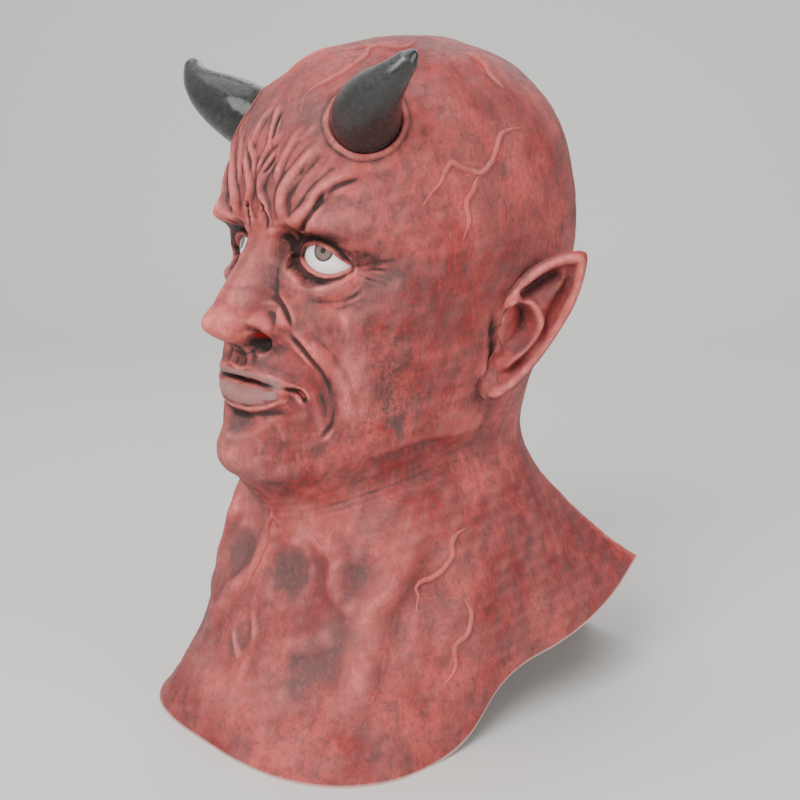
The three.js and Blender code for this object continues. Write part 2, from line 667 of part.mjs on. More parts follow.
function maskGeometry() {
  let solid = toSolid(shellGeometry());
  for (const ear of bothSides(earGeometry())) solid = solid.add(toSolid(ear));
  const cutters = [
    ...bothSides(toGeometry(toSolid(hornGeometry(GAP)))),
    ...bothSides(toGeometry(toSolid(lidOpening()))),
    ...bothSides(toGeometry(toSolid(eyeGeometry(GAP)))),
    floorCutter(),
  ];
  for (const cutter of cutters) solid = solid.subtract(toSolid(cutter));
  return toGeometry(solid);
}

const latex = new THREE.MeshStandardMaterial({ color: 0xb9584f, roughness: 0.62, metalness: 0 });
const hornBlack = new THREE.MeshStandardMaterial({ color: 0x222524, roughness: 0.38, metalness: 0 });
const eyeWhite = new THREE.MeshStandardMaterial({ color: 0xf2efe8, roughness: 0.12, metalness: 0 });

const mask = new THREE.Group();
mask.position.set(0, DEPTH_SHIFT, CHIN_HEIGHT);

function addPiece(name, geometry, material) {
  const mesh = new THREE.Mesh(geometry, material);
  mesh.name = name;
  mask.add(mesh);
}

addPiece('mask', maskGeometry(), latex);
const [hornLeft, hornRight] = bothSides(hornGeometry(0));
addPiece('horn_left', hornLeft, hornBlack);
addPiece('horn_right', hornRight, hornBlack);
const [eyeLeft, eyeRight] = bothSides(toGeometry(toSolid(eyeGeometry(0))));
addPiece('eye_left', eyeLeft, eyeWhite);
addPiece('eye_right', eyeRight, eyeWhite);

export default mask;
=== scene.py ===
"""Dresses the devil mask: painted latex skin, ears, raised veins, black horns and glossy eyes.

The shapes are worked out in the head's own frame, in millimetres: +X to the mask's own left, -Y out
of the face, +Z up, and Z = 0 at the underside of the chin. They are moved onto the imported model's
frame, in metres, when a mesh is made.
"""

import logging
import math
from dataclasses import dataclass, field
from enum import Enum
from typing import Any, Iterable, Sequence

import bpy
import numpy as np
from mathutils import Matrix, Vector
from mathutils.bvhtree import BVHTree


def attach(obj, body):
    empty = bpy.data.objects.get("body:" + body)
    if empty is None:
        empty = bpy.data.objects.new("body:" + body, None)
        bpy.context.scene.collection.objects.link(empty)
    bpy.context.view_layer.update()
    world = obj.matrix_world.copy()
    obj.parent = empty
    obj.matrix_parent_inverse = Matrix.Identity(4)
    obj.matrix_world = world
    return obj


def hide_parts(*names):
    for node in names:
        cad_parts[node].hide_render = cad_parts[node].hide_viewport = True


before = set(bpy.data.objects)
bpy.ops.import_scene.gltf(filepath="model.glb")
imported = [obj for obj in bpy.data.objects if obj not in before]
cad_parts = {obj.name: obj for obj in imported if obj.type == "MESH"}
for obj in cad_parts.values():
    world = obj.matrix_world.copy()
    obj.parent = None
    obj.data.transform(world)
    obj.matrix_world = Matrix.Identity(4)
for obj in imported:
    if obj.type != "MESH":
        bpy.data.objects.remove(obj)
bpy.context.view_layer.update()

CHIN_HEIGHT = 133.0
DEPTH_SHIFT = -1.65
WALL = 4.0
# The inside of the crown (x, y, z)
CEILING = (0.0, 12.0, 249.0)
MM = 0.001
BODY = "root"
# The edges of the skin that stay sharp, in degrees
SKIN_SHARP = 62.0
# The row where the outside turns into the bib's cut edge
RIM_ROW = 16.985
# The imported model's box in the head's frame, which the skin keeps within
BOX = (np.array([-108.1, -145.5, -133.0]), np.array([108.1, 148.8, 252.98]))
log = logging.getLogger("devil_mask")

Rgb = tuple[float, float, float]
Path = Sequence[Sequence[float]]


class Slot(Enum):
    """Names of the three material slots."""

    SKIN = "skin"
    HORN = "horn"
    EYE = "eye"


# Numbers and curves


def smooth(value: np.ndarray) -> np.ndarray:
    """A soft step from 0 at 0 to 1 at 1."""
    held = np.clip(value, 0.0, 1.0)
    return held * held * (3.0 - 2.0 * held)


def dome(distance: np.ndarray) -> np.ndarray:
    """A soft bump: 1 at distance 0, falling to 0 at distance 1."""
    return np.where(distance < 1.0, (1.0 - np.minimum(distance, 1.0) ** 2) ** 2, 0.0)


def notch(distance: np.ndarray) -> np.ndarray:
    """A narrower bump for creases: 1 at distance 0, almost nothing at distance 1."""
    return np.exp(-((2.2 * distance) ** 2))


def catmull(keys: np.ndarray, place: np.ndarray) -> np.ndarray:
    """Reads rows of numbers at fractional places along a smooth curve through them.

    Args:
        keys: One row of numbers for each whole place.
        place: Fractional places, of any shape.

    Returns:
        The rows at those places, with one more axis than place.
    """
    keys = np.asarray(keys, float)
    last = len(keys) - 1
    place = np.clip(np.asarray(place, float), 0.0, last)
    i = np.minimum(place.astype(int), last - 1)
    f = (place - i)[..., None]
    start, end = keys[i], keys[i + 1]
    before = np.where((i > 0)[..., None], keys[np.maximum(i - 1, 0)], 2 * start - end)
    after = np.where((i < last - 1)[..., None], keys[np.minimum(i + 2, last)], 2 * end - start)
    cubic = 3 * (start - end) + after - before
    return start + 0.5 * f * (end - before + f * (2 * before - 5 * start + 4 * end - after + f * cubic))


def bezier(a: np.ndarray, b: np.ndarray, c: np.ndarray, d: np.ndarray, f: np.ndarray) -> np.ndarray:
    """Points at parts f of a curve from a to d that heads for b and comes from c."""
    return (1 - f) ** 3 * a + 3 * (1 - f) ** 2 * f * b + 3 * (1 - f) * f * f * c + f**3 * d


def curve_points(path: Path, each: int = 6, closed: bool = False) -> np.ndarray:
    """Points on a smooth curve through a path.

    Args:
        path: The places the curve passes through.
        each: How many steps each stretch gets.
        closed: Whether the curve comes back to its start.

    Returns:
        One row for each point.
    """
    keys = np.asarray(path, float)
    if closed:
        count = len(keys)
        wrapped = np.vstack([keys[-2:], keys, keys[:3]])
        return catmull(wrapped, np.linspace(2, 2 + count, each * count + 1))[:-1]
    return catmull(keys, np.linspace(0, len(keys) - 1, each * (len(keys) - 1) + 1))


def near_path(points: np.ndarray, path: np.ndarray, reach: float) -> tuple[np.ndarray, np.ndarray, np.ndarray]:
    """Finds the points near a path.

    Args:
        points: All points, one row each.
        path: The path's points.
        reach: How far from the path a point may be.

    Returns:
        The indices of the points near it, their distances, and how far along the path they are, 0 to 1.
    """
    low, high = path.min(0) - reach, path.max(0) + reach
    chosen = np.flatnonzero(((points > low) & (points < high)).all(1))
    step = path[1:] - path[:-1]
    size = np.maximum((step * step).sum(1), 1e-9)
    best = np.full(len(chosen), np.inf)
    place = np.zeros(len(chosen))
    for k, start in enumerate(path[:-1]):
        offset = points[chosen] - start
        f = np.clip(offset @ step[k] / size[k], 0.0, 1.0)
        away = np.linalg.norm(offset - f[:, None] * step[k], axis=1)
        closer = away < best
        best[closer] = away[closer]
        place[closer] = (k + f[closer]) / len(step)
    inside = best < reach
    return chosen[inside], best[inside], place[inside]


def ripple(points: np.ndarray, size: float, seed: int) -> np.ndarray:
    """Soft random unevenness between about -1 and 1, made of a few waves.

    Args:
        points: Where to read it.
        size: The size of a lump.
        seed: Picks the waves.

    Returns:
        One number for each point.
    """
    rng = np.random.default_rng(seed)
    total = np.zeros(len(points))
    waves = 9
    for _ in range(waves):
        direction = rng.normal(size=3)
        direction *= 2 * math.pi / (size * rng.uniform(0.8, 2.2) * np.linalg.norm(direction))
        total += np.sin(points @ direction + rng.uniform(0, 2 * math.pi))
    return total / math.sqrt(waves)


def mirrored(points: np.ndarray) -> np.ndarray:
    """The same points with every one taken to the mask's left."""
    near = points.copy()
    near[:, 0] = np.abs(near[:, 0])
    return near


# Building meshes


def to_row(points: np.ndarray) -> np.ndarray:
    """Moves points from the head's frame in millimetres to the model's frame in metres."""
    return (points + [0.0, DEPTH_SHIFT, CHIN_HEIGHT]) * MM


def in_scene(name: str, data: Any) -> bpy.types.Object:
    """Puts an object made of a mesh, a light or a camera in the scene, at the origin."""
    piece = bpy.data.objects.new(name, data)
    bpy.context.scene.collection.objects.link(piece)
    return piece


def smooth_mesh(name: str, mesh: bpy.types.Mesh) -> bpy.types.Object:
    """Makes a smoothly shaded object of a mesh."""
    mesh.polygons.foreach_set("use_smooth", np.ones(len(mesh.polygons), bool))
    mesh.update()
    return in_scene(name, mesh)


def make_mesh(name: str, points: np.ndarray, faces: list, in_row: bool = False) -> bpy.types.Object:
    """Makes an object from points and faces.

    Args:
        name: The object's name.
        points: One row for each point, in the head's frame.
        faces: Triangles or quads, as indices.
        in_row: Whether the points are in the model's frame already.

    Returns:
        The object, at the origin.
    """
    mesh = bpy.data.meshes.new(name)
    places = points if in_row else to_row(points)
    mesh.from_pydata(places.tolist(), [], faces)
    mesh.validate()
    return smooth_mesh(name, mesh)


def sheet(grid: np.ndarray) -> list:
    """Quads between the rows of a grid of points."""
    return np.stack([grid[:-1, :-1], grid[1:, :-1], grid[1:, 1:], grid[:-1, 1:]], -1).reshape(-1, 4).tolist()


def bands(grid: np.ndarray) -> list:
    """Quads between the rows of a grid of points, each row a ring."""
    return sheet(np.column_stack([grid, grid[:, 0]]))


def fan(tip: int, ring: np.ndarray, flip: bool = False) -> list:
    """Triangles from a point to a ring."""
    pairs = zip(ring.tolist(), np.roll(ring, -1).tolist())
    return [(tip, b, a) if flip else (tip, a, b) for a, b in pairs]


def sided(name: str, points: np.ndarray, faces: list, sign: int) -> bpy.types.Object:
    """Makes the left one of a pair (sign 1), or its mirror image (sign -1)."""
    return make_mesh(name, points * [sign, 1, 1], faces if sign > 0 else [face[::-1] for face in faces])


def coat(piece: bpy.types.Object, material: bpy.types.Material, sharp: float | None = None) -> None:
    """Gives a piece its finish, and keeps the edges sharp that turn by more than an angle in degrees."""
    piece.data.materials.append(material)
    if sharp is not None:
        piece.data.set_sharp_from_angle(angle=math.radians(sharp))


def paint(piece: bpy.types.Object, name: str, colours: np.ndarray) -> None:
    """Stores three numbers a point as a colour attribute."""
    attribute = piece.data.color_attributes.new(name, "FLOAT_COLOR", "POINT")
    rows = np.ones((len(colours), 4), np.float32)
    rows[:, : colours.shape[1]] = colours
    attribute.data.foreach_set("color", rows.ravel())


def paint_masks(piece: bpy.types.Object, shade_and_tint: np.ndarray, marks: np.ndarray, extra: np.ndarray) -> None:
    """Stores the three masks that the skin's finish reads."""
    for name, colours in (("shade_and_tint", shade_and_tint), ("marks", marks), ("extra", extra)):
        paint(piece, name, colours)


def corners_of(piece: bpy.types.Object) -> np.ndarray:
    """The point at each corner of a piece's faces."""
    corners = np.zeros(len(piece.data.loops), int)
    piece.data.loops.foreach_get("vertex_index", corners)
    return corners


def finish_piece(piece: bpy.types.Object, nodes: Sequence[str] = ()) -> None:
    """Rides a finished piece on the model's body, hides the model's nodes that it replaces and logs its faces.

    Args:
        piece: The piece, already in place.
        nodes: The model's nodes that it replaces.
    """
    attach(piece, BODY)
    if nodes:
        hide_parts(*nodes)
    log.info("%s: %d faces", piece.name, len(piece.data.polygons))


# The smooth head and bib under the carving


@dataclass
class HeadForm:
    """The smooth surface under the carving.

    A row t runs from the crown (0) to the neck, and one more row runs over the bib to its cut edge.
    An angle u runs round, with 0 in front and a quarter turn at the mask's left.
    """

    # Front (y, z), side (x, y, z), back (y, z), squareness in front and behind
    sections: np.ndarray = field(default_factory=lambda: np.array([
        [12, 253, 0, 12, 253, 12, 253, 2, 2],
        [-13, 251, 25, 12, 250.5, 36, 250, 2, 2],
        [-44, 243, 51, 12, 239, 68, 240, 2, 2],
        [-71, 227, 71, 12, 220, 94, 218, 2.05, 2],
        [-89, 206, 82, 12, 196, 111, 190, 2.15, 2],
        [-97, 184, 87, 11, 169, 118, 159, 2.2, 2],
        [-99, 163, 88, 10, 148, 118, 134, 2.3, 2.05],
        [-97, 144, 86, 8, 129, 113, 113, 2.35, 2.1],
        [-100, 124, 83, 5, 110, 105, 95, 2.25, 2.1],
        [-105, 104, 80, 2, 92, 97, 79, 2.1, 2.1],
        [-109, 86, 78, -2, 75, 91, 66, 2, 2.1],
        [-109, 68, 75, -6, 63, 87, 54, 1.95, 2.1],
        [-113, 50, 72, -10, 52, 85, 43, 1.95, 2.1],
        [-114, 32, 70, -13, 43, 84, 33, 2, 2.1],
        [-111, 13, 68, -13, 36, 83, 25, 2.12, 2.12],
        [-101, 1, 64, -12, 28, 83, 17, 2.05, 2.2],
        [-94, -6, 66, -10, 18, 84, 9, 2.15, 2.3],
    ]))
    # Angle, place (x, y, z), run out and down from the neck, run in and up at the edge
    rim: np.ndarray = field(default_factory=lambda: np.array([
        [0, 0, -145.4, -133, 0, 42, 16, 36],
        [14, 36, -144.4, -133, 2, 38, 18, 36],
        [28, 68, -137.4, -133, 8, 28, 28, 36],
        [42, 92.5, -121, -133, 24, 12, 38, 34],
        [56, 106.5, -96, -133, 30, 9, 36, 36],
        [68, 107.6, -66, -133, 30, 12, 18, 40],
        [79, 105, -38, -127, 27, 16, 2, 44],
        [90, 100, -10, -109, 21, 22, -6, 42],
        [98, 101, 10, -99, 20, 24, -6, 36],
        [108, 104, 36, -93, 19, 25, 0, 32],
        [118, 104, 62, -86, 17, 26, 12, 26],
        [127, 99, 92, -77, 17, 26, 22, 22],
        [135, 88, 127, -65, 16, 26, 32, 20],
        [144, 74, 132, -80, 14, 28, 26, 24],
        [153, 58, 138, -99, 10, 30, 20, 32],
        [162, 40, 144, -120, 8, 32, 16, 40],
        [170, 22, 148, -133, 6, 34, 14, 46],
        [180, 0, 148.5, -133, 6, 34, 14, 46],
    ]))
    corner: float = 135.0
    far_side_narrowing: float = 0.15
    narrow_from: float = 95.0
    narrow_over: float = 30.0
    neck_axis: tuple[float, float] = (0.0, -10.0)
    bib_length: float = 13.0
    turn_half: float = 3.2
    turn_reach: float = 1.5

    @property
    def neck(self) -> int:
        """The row where the head ends and the bib begins."""
        return len(self.sections) - 1

    def ring(self, t: np.ndarray, u: np.ndarray) -> np.ndarray:
        """Points of the head at rows t and angles u."""
        fy, fz, sx, sy, sz, by, bz, square_front, square_back = np.moveaxis(catmull(self.sections, t), -1, 0)
        forward = np.cos(u) >= 0
        power = 2 / np.where(forward, square_front, square_back)
        across = np.sign(np.sin(u)) * np.abs(np.sin(u)) ** power
        along = np.abs(np.cos(u)) ** power
        ey, ez = np.where(forward, fy, by), np.where(forward, fz, bz)
        return np.stack([sx * across, sy + (ey - sy) * along, sz + (ez - sz) * along**1.6], -1)

    def edge(self, u: np.ndarray) -> np.ndarray:
        """The cut edge of the bib at angles u: its place and its two pairs of handles."""
        degrees = np.degrees(np.arctan2(np.sin(u), np.cos(u)))
        angle = np.abs(degrees)
        split = int(np.flatnonzero(self.rim[:, 0] == self.corner)[0])
        front, back = self.rim[: split + 1], self.rim[split:]
        beyond = back[-2] * [1, -1, 1, 1, 1, 1, 1, 1]
        beyond[0] = 360 - back[-2, 0]
        rows = np.zeros(angle.shape + (7,))
        for keys, here in ((np.vstack([front[1] * [-1, -1, 1, 1, 1, 1, 1, 1], front]), angle <= self.corner),
                           (np.vstack([back, beyond]), angle > self.corner)):
            place = np.interp(angle[here], keys[:, 0], np.arange(len(keys)))
            rows[here] = catmull(keys[:, 1:], place)
        narrow = 1 - self.far_side_narrowing * np.clip((self.narrow_from - angle) / self.narrow_over, 0, 1)
        rows[..., 0] *= np.where(degrees < 0, -narrow, 1.0)
        return rows

    def outwards(self, points: np.ndarray) -> np.ndarray:
        """Level directions away from the neck's axis."""
        flat = points - [*self.neck_axis, 0.0]
        flat[..., 2] = 0.0
        return flat / np.linalg.norm(flat, axis=-1, keepdims=True)

    def points(self, t: np.ndarray, u: np.ndarray) -> np.ndarray:
        """Points of the whole surface at rows t and angles u, with the turn from jaw to bib made soft."""
        t, u = np.broadcast_arrays(np.asarray(t, float), np.asarray(u, float))
        run = np.where(t > self.neck, self.neck + (t - self.neck) * self.bib_length, t)
        reach = self.turn_reach * smooth((self.turn_half - np.abs(run - self.neck)) / 1.5)
        total = np.zeros(t.shape + (3,))
        weights = (1, 3, 5, 6, 5, 3, 1)
        for k, weight in enumerate(weights):
            place = run + reach * (k - 3) / 3
            row = np.where(place > self.neck, self.neck + (place - self.neck) / self.bib_length, place)
            total += weight * self.sharp_points(row, u)
        return total / sum(weights)

    def sharp_points(self, t: np.ndarray, u: np.ndarray) -> np.ndarray:
        """Points of the surface as its sections and its bib give them."""
        t, u = np.broadcast_arrays(np.asarray(t, float), np.asarray(u, float))
        head = self.ring(np.minimum(t, self.neck), u)
        w = np.clip(t - self.neck, 0.0, 1.0)[..., None]
        start = self.ring(np.full(t.shape, float(self.neck)), u)
        edge = self.edge(u)
        end = edge[..., :3]
        leave = self.outwards(start) * edge[..., 3:4]
        leave[..., 2] = -edge[..., 4]
        arrive = -self.outwards(end) * edge[..., 5:6]
        arrive[..., 2] = edge[..., 6]
        return np.where(w > 0, bezier(start, start + leave, end + arrive, end, w), head)

    def normals(self, t: np.ndarray, u: np.ndarray) -> np.ndarray:
        """Outward directions of the smooth surface."""
        dt, du = 0.04, 0.03
        down = self.points(np.minimum(t + dt, self.neck + 1), u) - self.points(np.maximum(t - dt, 0.02), u)
        around = self.points(t, u + du) - self.points(t, u - du)
        normal = np.cross(down, around)
        return normal / np.maximum(np.linalg.norm(normal, axis=-1, keepdims=True), 1e-9)


# Carving


@dataclass(frozen=True)
class Form:
    """A soft form that raises or hollows the skin."""

    at: Sequence[float]
    size: Sequence[float]
    height: float
    broad: bool = False

    def lift(self, near: np.ndarray) -> np.ndarray:
        """How far the form raises each point."""
        return self.height * dome(np.linalg.norm((near - self.at) / self.size, axis=1))


@dataclass(frozen=True)
class Fold:
    """A raised fold or a crease along a path on the skin."""

    path: Path
    width: float
    height: float
    sharp: bool = False
    taper: float = 0.3
    # How much painted shade lies in a narrow crease
    dark: float = 0.4

    def weight(self, near: np.ndarray) -> np.ndarray:
        """How strongly the fold acts on each point, 0 to 1."""
        chosen, away, place = near_path(near, curve_points(self.path), self.width)
        on_middle = abs(self.path[0][0]) < 1
        ends = smooth((1 - place) / self.taper) * (1.0 if on_middle else smooth(place / self.taper + 0.1))
        shape = notch if self.sharp else dome
        result = np.zeros(len(near))
        result[chosen] = ends * shape(away / self.width)
        return result

    def lift(self, near: np.ndarray) -> np.ndarray:
        """How far the fold raises each point."""
        return self.height * self.weight(near)


def forms(*rows: Sequence[float]) -> tuple[Form, ...]:
    """Soft forms from rows of seven numbers: place, size and height."""
    return tuple(Form(row[:3], row[3:6], row[6]) for row in rows)


def lifted(parts: Iterable[Any], points: np.ndarray, start: Any = 0) -> np.ndarray:
    """How far some forms and folds raise each point in all, on top of what is there at the start."""
    return sum((part.lift(points) for part in parts), start)


# Place, size and height, and True where the lining follows too
FORMS: dict[str, Form] = {
    "eye socket": Form((34, -90, 139), (25, 40, 19), -10, True),
    "inner eye hollow": Form((21, -95, 143), (12, 30, 13), -7, True),
    "cheekbone": Form((66, -62, 112), (26, 30, 20), 4, True),
    "cheek hollow": Form((66, -58, 68), (22, 30, 26), -4, True),
    "temple": Form((83, -42, 165), (20, 30, 28), -3, True),
    "smile pouch": Form((54, -78, 66), (14, 22, 30), 4.5),
    "muzzle": Form((20, -107, 75), (24, 30, 16), 3.2, True),
    "chin": Form((0, -113, 30), (32, 32, 26), 8, True),
    "chin side": Form((24, -108, 22), (20, 30, 18), 4),
    "groove under the lip": Form((0, -114, 47), (19, 26, 9), -4, True),
    "upper eyelid pad": Form((50, -82, 156), (19, 22, 13), 4.5),
    "brow overhang": Form((38, -92, 155), (17, 24, 13), 6),
    "tear bag": Form((43, -84, 121), (16, 20, 7.5), 3.2),
    "pit under the cheek": Form((47, -88, 99), (9, 14, 12), -2.5),
    "ear root": Form((79, 12, 84), (16, 24, 36), 2),
    "jaw corner": Form((69, -14, 40), (22, 26, 17), 4, True),
    "throat pit": Form((22, -99, -39), (19, 24, 19), -4.5, True),
    "triangle hollow": Form((64.5, -84, -35), (15, 24, 18), -3.2, True),
    "breast hollow": Form((56, -108, -84), (22, 26, 22), -2.5, True),
    "shoulder hollow": Form((92, -52, -44), (20, 26, 26), -3.5, True),
    "nostril": Form((15, -111, 91), (7.2, 13, 7.5), -7, True),
    "forehead dent": Form((60, -58, 232), (22, 22, 16), -1.2),
    "skull dent": Form((78, 10, 214), (24, 24, 18), -1),
}

# Path, width and height
RIDGES: dict[str, Fold] = {
    "brow": Fold([[23, -98, 151.5], [30, -98, 154], [37, -96, 160], [41, -94, 167], [46, -91, 173.5],
        [50, -88, 178.5], [55, -82, 182], [62, -74, 184]], 7, 5.5),
    "brow root": Fold([[22.5, -98, 152], [21.6, -99, 159], [21.5, -99, 167], [24.5, -98, 174], [30, -96, 181.5],
        [35, -92, 188.5], [39, -88, 194.5], [42.6, -83.8, 200]], 6.2, 4.2),
    "thin brow": Fold([[38.5, -96, 169], [42, -93, 176.7], [45.5, -88, 184.8], [49, -84, 189.5], [54, -81, 192]],
        4.6, 2.2),
    "third brow": Fold([[19, -99, 172], [18, -98, 182], [20.5, -96, 189.6], [23.5, -92.5, 196.5], [27, -84.3, 206]],
        4.6, 2.1),
    "forehead fork": Fold([[26, -93, 196], [31.2, -87.9, 201.4], [35, -83.5, 206.5]], 3.8, 1.3),
    "forehead line": Fold([[10, -96, 188], [8.6, -94.6, 196], [7.4, -92, 203], [4.5, -87, 211], [0, -82, 217]],
        4.8, 1.7),
    "inner brow": Fold([[8.2, -99, 155], [8, -99, 163], [5, -100, 171], [6.6, -99, 178], [12, -97, 187],
        [18, -94, 193.5]], 4.8, 2.4),
    "middle line": Fold([[2.5, -99, 172], [2.9, -98.5, 184], [6, -96.5, 191], [11.9, -94, 197.6], [13.9, -89, 205]],
        3.8, 1.2),
    "outer thin brow": Fold([[33, -97, 163], [31, -97, 171], [34, -94.5, 182], [37, -91, 189]], 3, 1),
    "frown root": Fold([[3, -99, 152], [4.5, -99.5, 158], [9, -98.5, 163]], 3, 1.1),
    "nose wrinkle": Fold([[4, -101, 147], [12, -98, 149], [19, -95, 148]], 3.6, 1.1),
    "cheek fold": Fold([[30, -99, 99], [38, -97, 91.5], [46, -92, 83], [52, -87, 73], [54.5, -84, 65],
        [55.5, -82.5, 56], [54, -84, 48]], 8, 3.6),
    "cheek fold edge": Fold([[49, -88, 66], [51.5, -86, 57], [51, -87, 50], [46.5, -88.5, 43], [41.5, -92, 38.5]],
        2.6, 0.9),
    "upper lip": Fold([[0, -109, 74], [14, -107, 74], [26, -103, 70.5], [34, -98, 65]], 7, 2.6),
    "upper lip edge": Fold([[0, -110, 75.8], [8, -110, 77.5], [14, -109, 76.3], [22, -106, 74.5], [29, -101.5, 71],
        [34.5, -96.5, 65.5]], 2.2, 1.1),
    "lower lip": Fold([[0, -110, 60.5], [14, -108, 61], [25, -103.5, 62.5], [32, -99, 62.5]], 9.5, 4.8),
    "lower lip edge": Fold([[0, -112, 53.6], [9, -111.5, 54], [20, -108.5, 56.8], [27, -104, 60], [31, -100.5, 63]],
        2.2, 1.2),
    "philtrum edge": Fold([[6, -110, 91], [6.3, -110, 84], [8, -110, 76]], 4.4, 1.5),
    "lip corner line": Fold([[33, -98, 74], [39.5, -94.5, 66], [42, -92, 55], [40, -92, 45]], 5, 1),
    "wing edge": Fold([[12, -111, 113.5], [17.5, -104, 113.5], [22, -101.5, 109.5], [25, -100, 103.5],
        [26.5, -99.5, 97.5]], 4, 1.5),
    "breast tendon": Fold([[80, -25, 2], [78, -43, -5], [77, -60, -16], [79, -70, -28], [77.5, -79, -39.5],
        [75, -86, -50], [77.7, -90, -65], [80, -96, -80], [80.7, -104, -95], [82, -110, -107], [84, -112, -122]],
        17, 5),
    "edge of the throat pit": Fold([[36, -90, -10], [42, -89.5, -18], [53, -93, -25], [57, -92, -38],
        [65, -89.5, -48], [70, -88, -51]], 11, 2),
    "collar bone": Fold([[30, -112, -77], [50, -108, -70], [68, -96, -60]], 9, 1.8),
}

# Path, width, height, and True where narrow. Painted shade lies in the narrow ones, as strong as dark says
CREASES: dict[str, Fold] = {
    "under the brow": Fold([[22, -97, 147.5], [27, -97, 149.5], [33, -93, 152.5], [38.5, -92, 157.5],
        [42, -91, 163.5], [45, -89.5, 170], [49, -87, 173], [54, -80, 176.5], [62, -71, 180]], 4, -3.8, True),
    "beside the brow root": Fold([[24.3, -98, 158], [25.4, -97.9, 167], [28.5, -97, 175], [32.5, -93.5, 181.5],
        [36, -91, 187.5], [41.5, -85.5, 196.5]], 3, -2.8, True),
    "under the thin brow": Fold([[42, -94, 174.5], [44, -90.5, 180.5], [47, -84.5, 186.6], [54, -78.6, 190]],
        2.4, -1.5, True),
    "beside the third brow": Fold([[19.6, -98.6, 174], [21.8, -96.6, 184], [24.5, -95, 191], [28, -90, 199]],
        2.4, -1.6, True),
    "forehead": Fold([[12, -96, 191], [10, -94, 197], [8.3, -90.5, 203.5], [7, -84, 213]], 2.6, -1.5, True),
    "inner brow": Fold([[6.8, -99, 178], [12, -96.5, 184.5], [15.5, -95.5, 191.5]], 2.2, -1.5, True),
    "brow bowl": Fold([[20, -99, 160], [25.5, -98.5, 166.5], [29, -97.5, 178]], 2.4, -1.2, True),
    "frown": Fold([[7.5, -98.5, 149], [8, -98.5, 158], [5, -99.5, 168]], 3, -2.4, True),
    "frown cut": Fold([[4.7, -99.5, 158], [9.4, -98.3, 164]], 2.2, -1.6, True),
    "inner corner": Fold([[14.5, -99, 150], [17, -96, 144], [18.5, -93, 136], [21, -90, 130]], 5, -2.8, True),
    "over the lid": Fold([[22, -93, 149], [27, -86.5, 149], [38, -80, 147.8], [47.5, -78, 144], [53, -73.5, 139.5],
        [59, -68.5, 136.8], [66, -65.5, 135.9], [73, -56.5, 137.5]], 3, -2, True, dark=0.55),
    "cheek": Fold([[26, -98.5, 101], [29, -98, 96], [35, -97, 90.5], [41, -94, 83], [46, -90, 74.5],
        [48.6, -88, 66.8], [49.6, -87, 57], [49, -87.5, 50], [45, -89.5, 43.3], [39.5, -93, 38.3]],
        4, -3, True, dark=0.1),
    "mouth line": Fold([[0, -109, 69], [12, -108.5, 69.3], [21, -107, 69], [30.5, -101.5, 67.5], [34.5, -96.5, 64],
        [35, -93, 58]], 3.2, -4.6, True, 0.12, 1.0),
    "under the lip": Fold([[0, -112, 50.6], [12, -110.5, 51.2], [22, -106.5, 54], [30, -101, 57.6]], 4, -0.6),
    "chin": Fold([[19, -109, 47], [23.5, -107, 38], [23, -107, 29], [18, -108, 21]], 7, -1.5),
    "philtrum": Fold([[0, -110, 89], [0, -110, 80]], 3.4, -0.6),
    "wing": Fold([[9, -112, 119], [14, -107, 118.3], [19, -102, 115.5], [24, -99.5, 110], [28, -98.5, 103.5],
        [29, -98, 98]], 3.4, -2.2, True, dark=0.25),
    "wing inner": Fold([[13, -109, 110.5], [17.5, -104, 110], [21.5, -101.5, 106], [23.5, -100.5, 100]],
        2.6, -0.8, True, dark=0.2),
    "bag": Fold([[26.4, -88, 127], [30.7, -87.8, 121.5], [36, -86, 117.3], [48, -81.5, 115], [57, -76.5, 119],
        [61.5, -72.5, 126.5]], 3, -0.8, True, dark=0.12),
    "lower bag": Fold([[31, -90, 115], [40, -87, 111.5], [49, -83.5, 111], [57, -78, 114.5], [63, -71.5, 121]],
        2.6, -0.3, True, dark=0.05),
    "crow foot": Fold([[58, -75, 131], [63, -70, 132], [69, -63, 131]], 2, -0.5, True, dark=0.1),
    "lower crow foot": Fold([[59, -75, 128], [65, -69, 125.5], [71, -61, 122]], 1.8, -0.4, True, dark=0.06),
    "behind the jaw": Fold([[83, -4, 60], [80, -14, 40], [70, -32, 24]], 7, -2),
    "in front of the ear": Fold([[82, 0, 108], [80, 1, 92], [79, 2, 78], [75, 1, 60]], 5, -2.5),
    "beside the tendon": Fold([[80, -48, -28], [82.6, -58, -42], [84, -68, -54], [86, -71, -66], [88, -72.5, -76]],
        8, -1.6),
}

# Folds that only one side has, written where they are
LONE_FOLDS: dict[str, Fold] = {
    "far tendon": Fold([[9, -92, 2], [6, -95, -9], [2.6, -97, -28], [-9, -101.5, -47], [-20, -108, -62],
        [-32, -117.5, -78], [-50, -122, -98]], 13, 3.4),
    "cord, long branch": Fold([[5, -98, -44], [1.5, -101, -52], [2.8, -106.6, -65], [11, -115, -73],
        [13, -122.5, -83]], 5, 1.3),
    "cord, short branch": Fold([[-9.5, -115, -73], [-4, -118.5, -80], [4, -121.5, -86], [12, -124, -88]], 4.4, 1.3),
    "cord, trunk": Fold([[12, -121, -81], [13.6, -127, -92], [12, -132.5, -99], [10, -138, -112]], 5.5, 1.8),
}
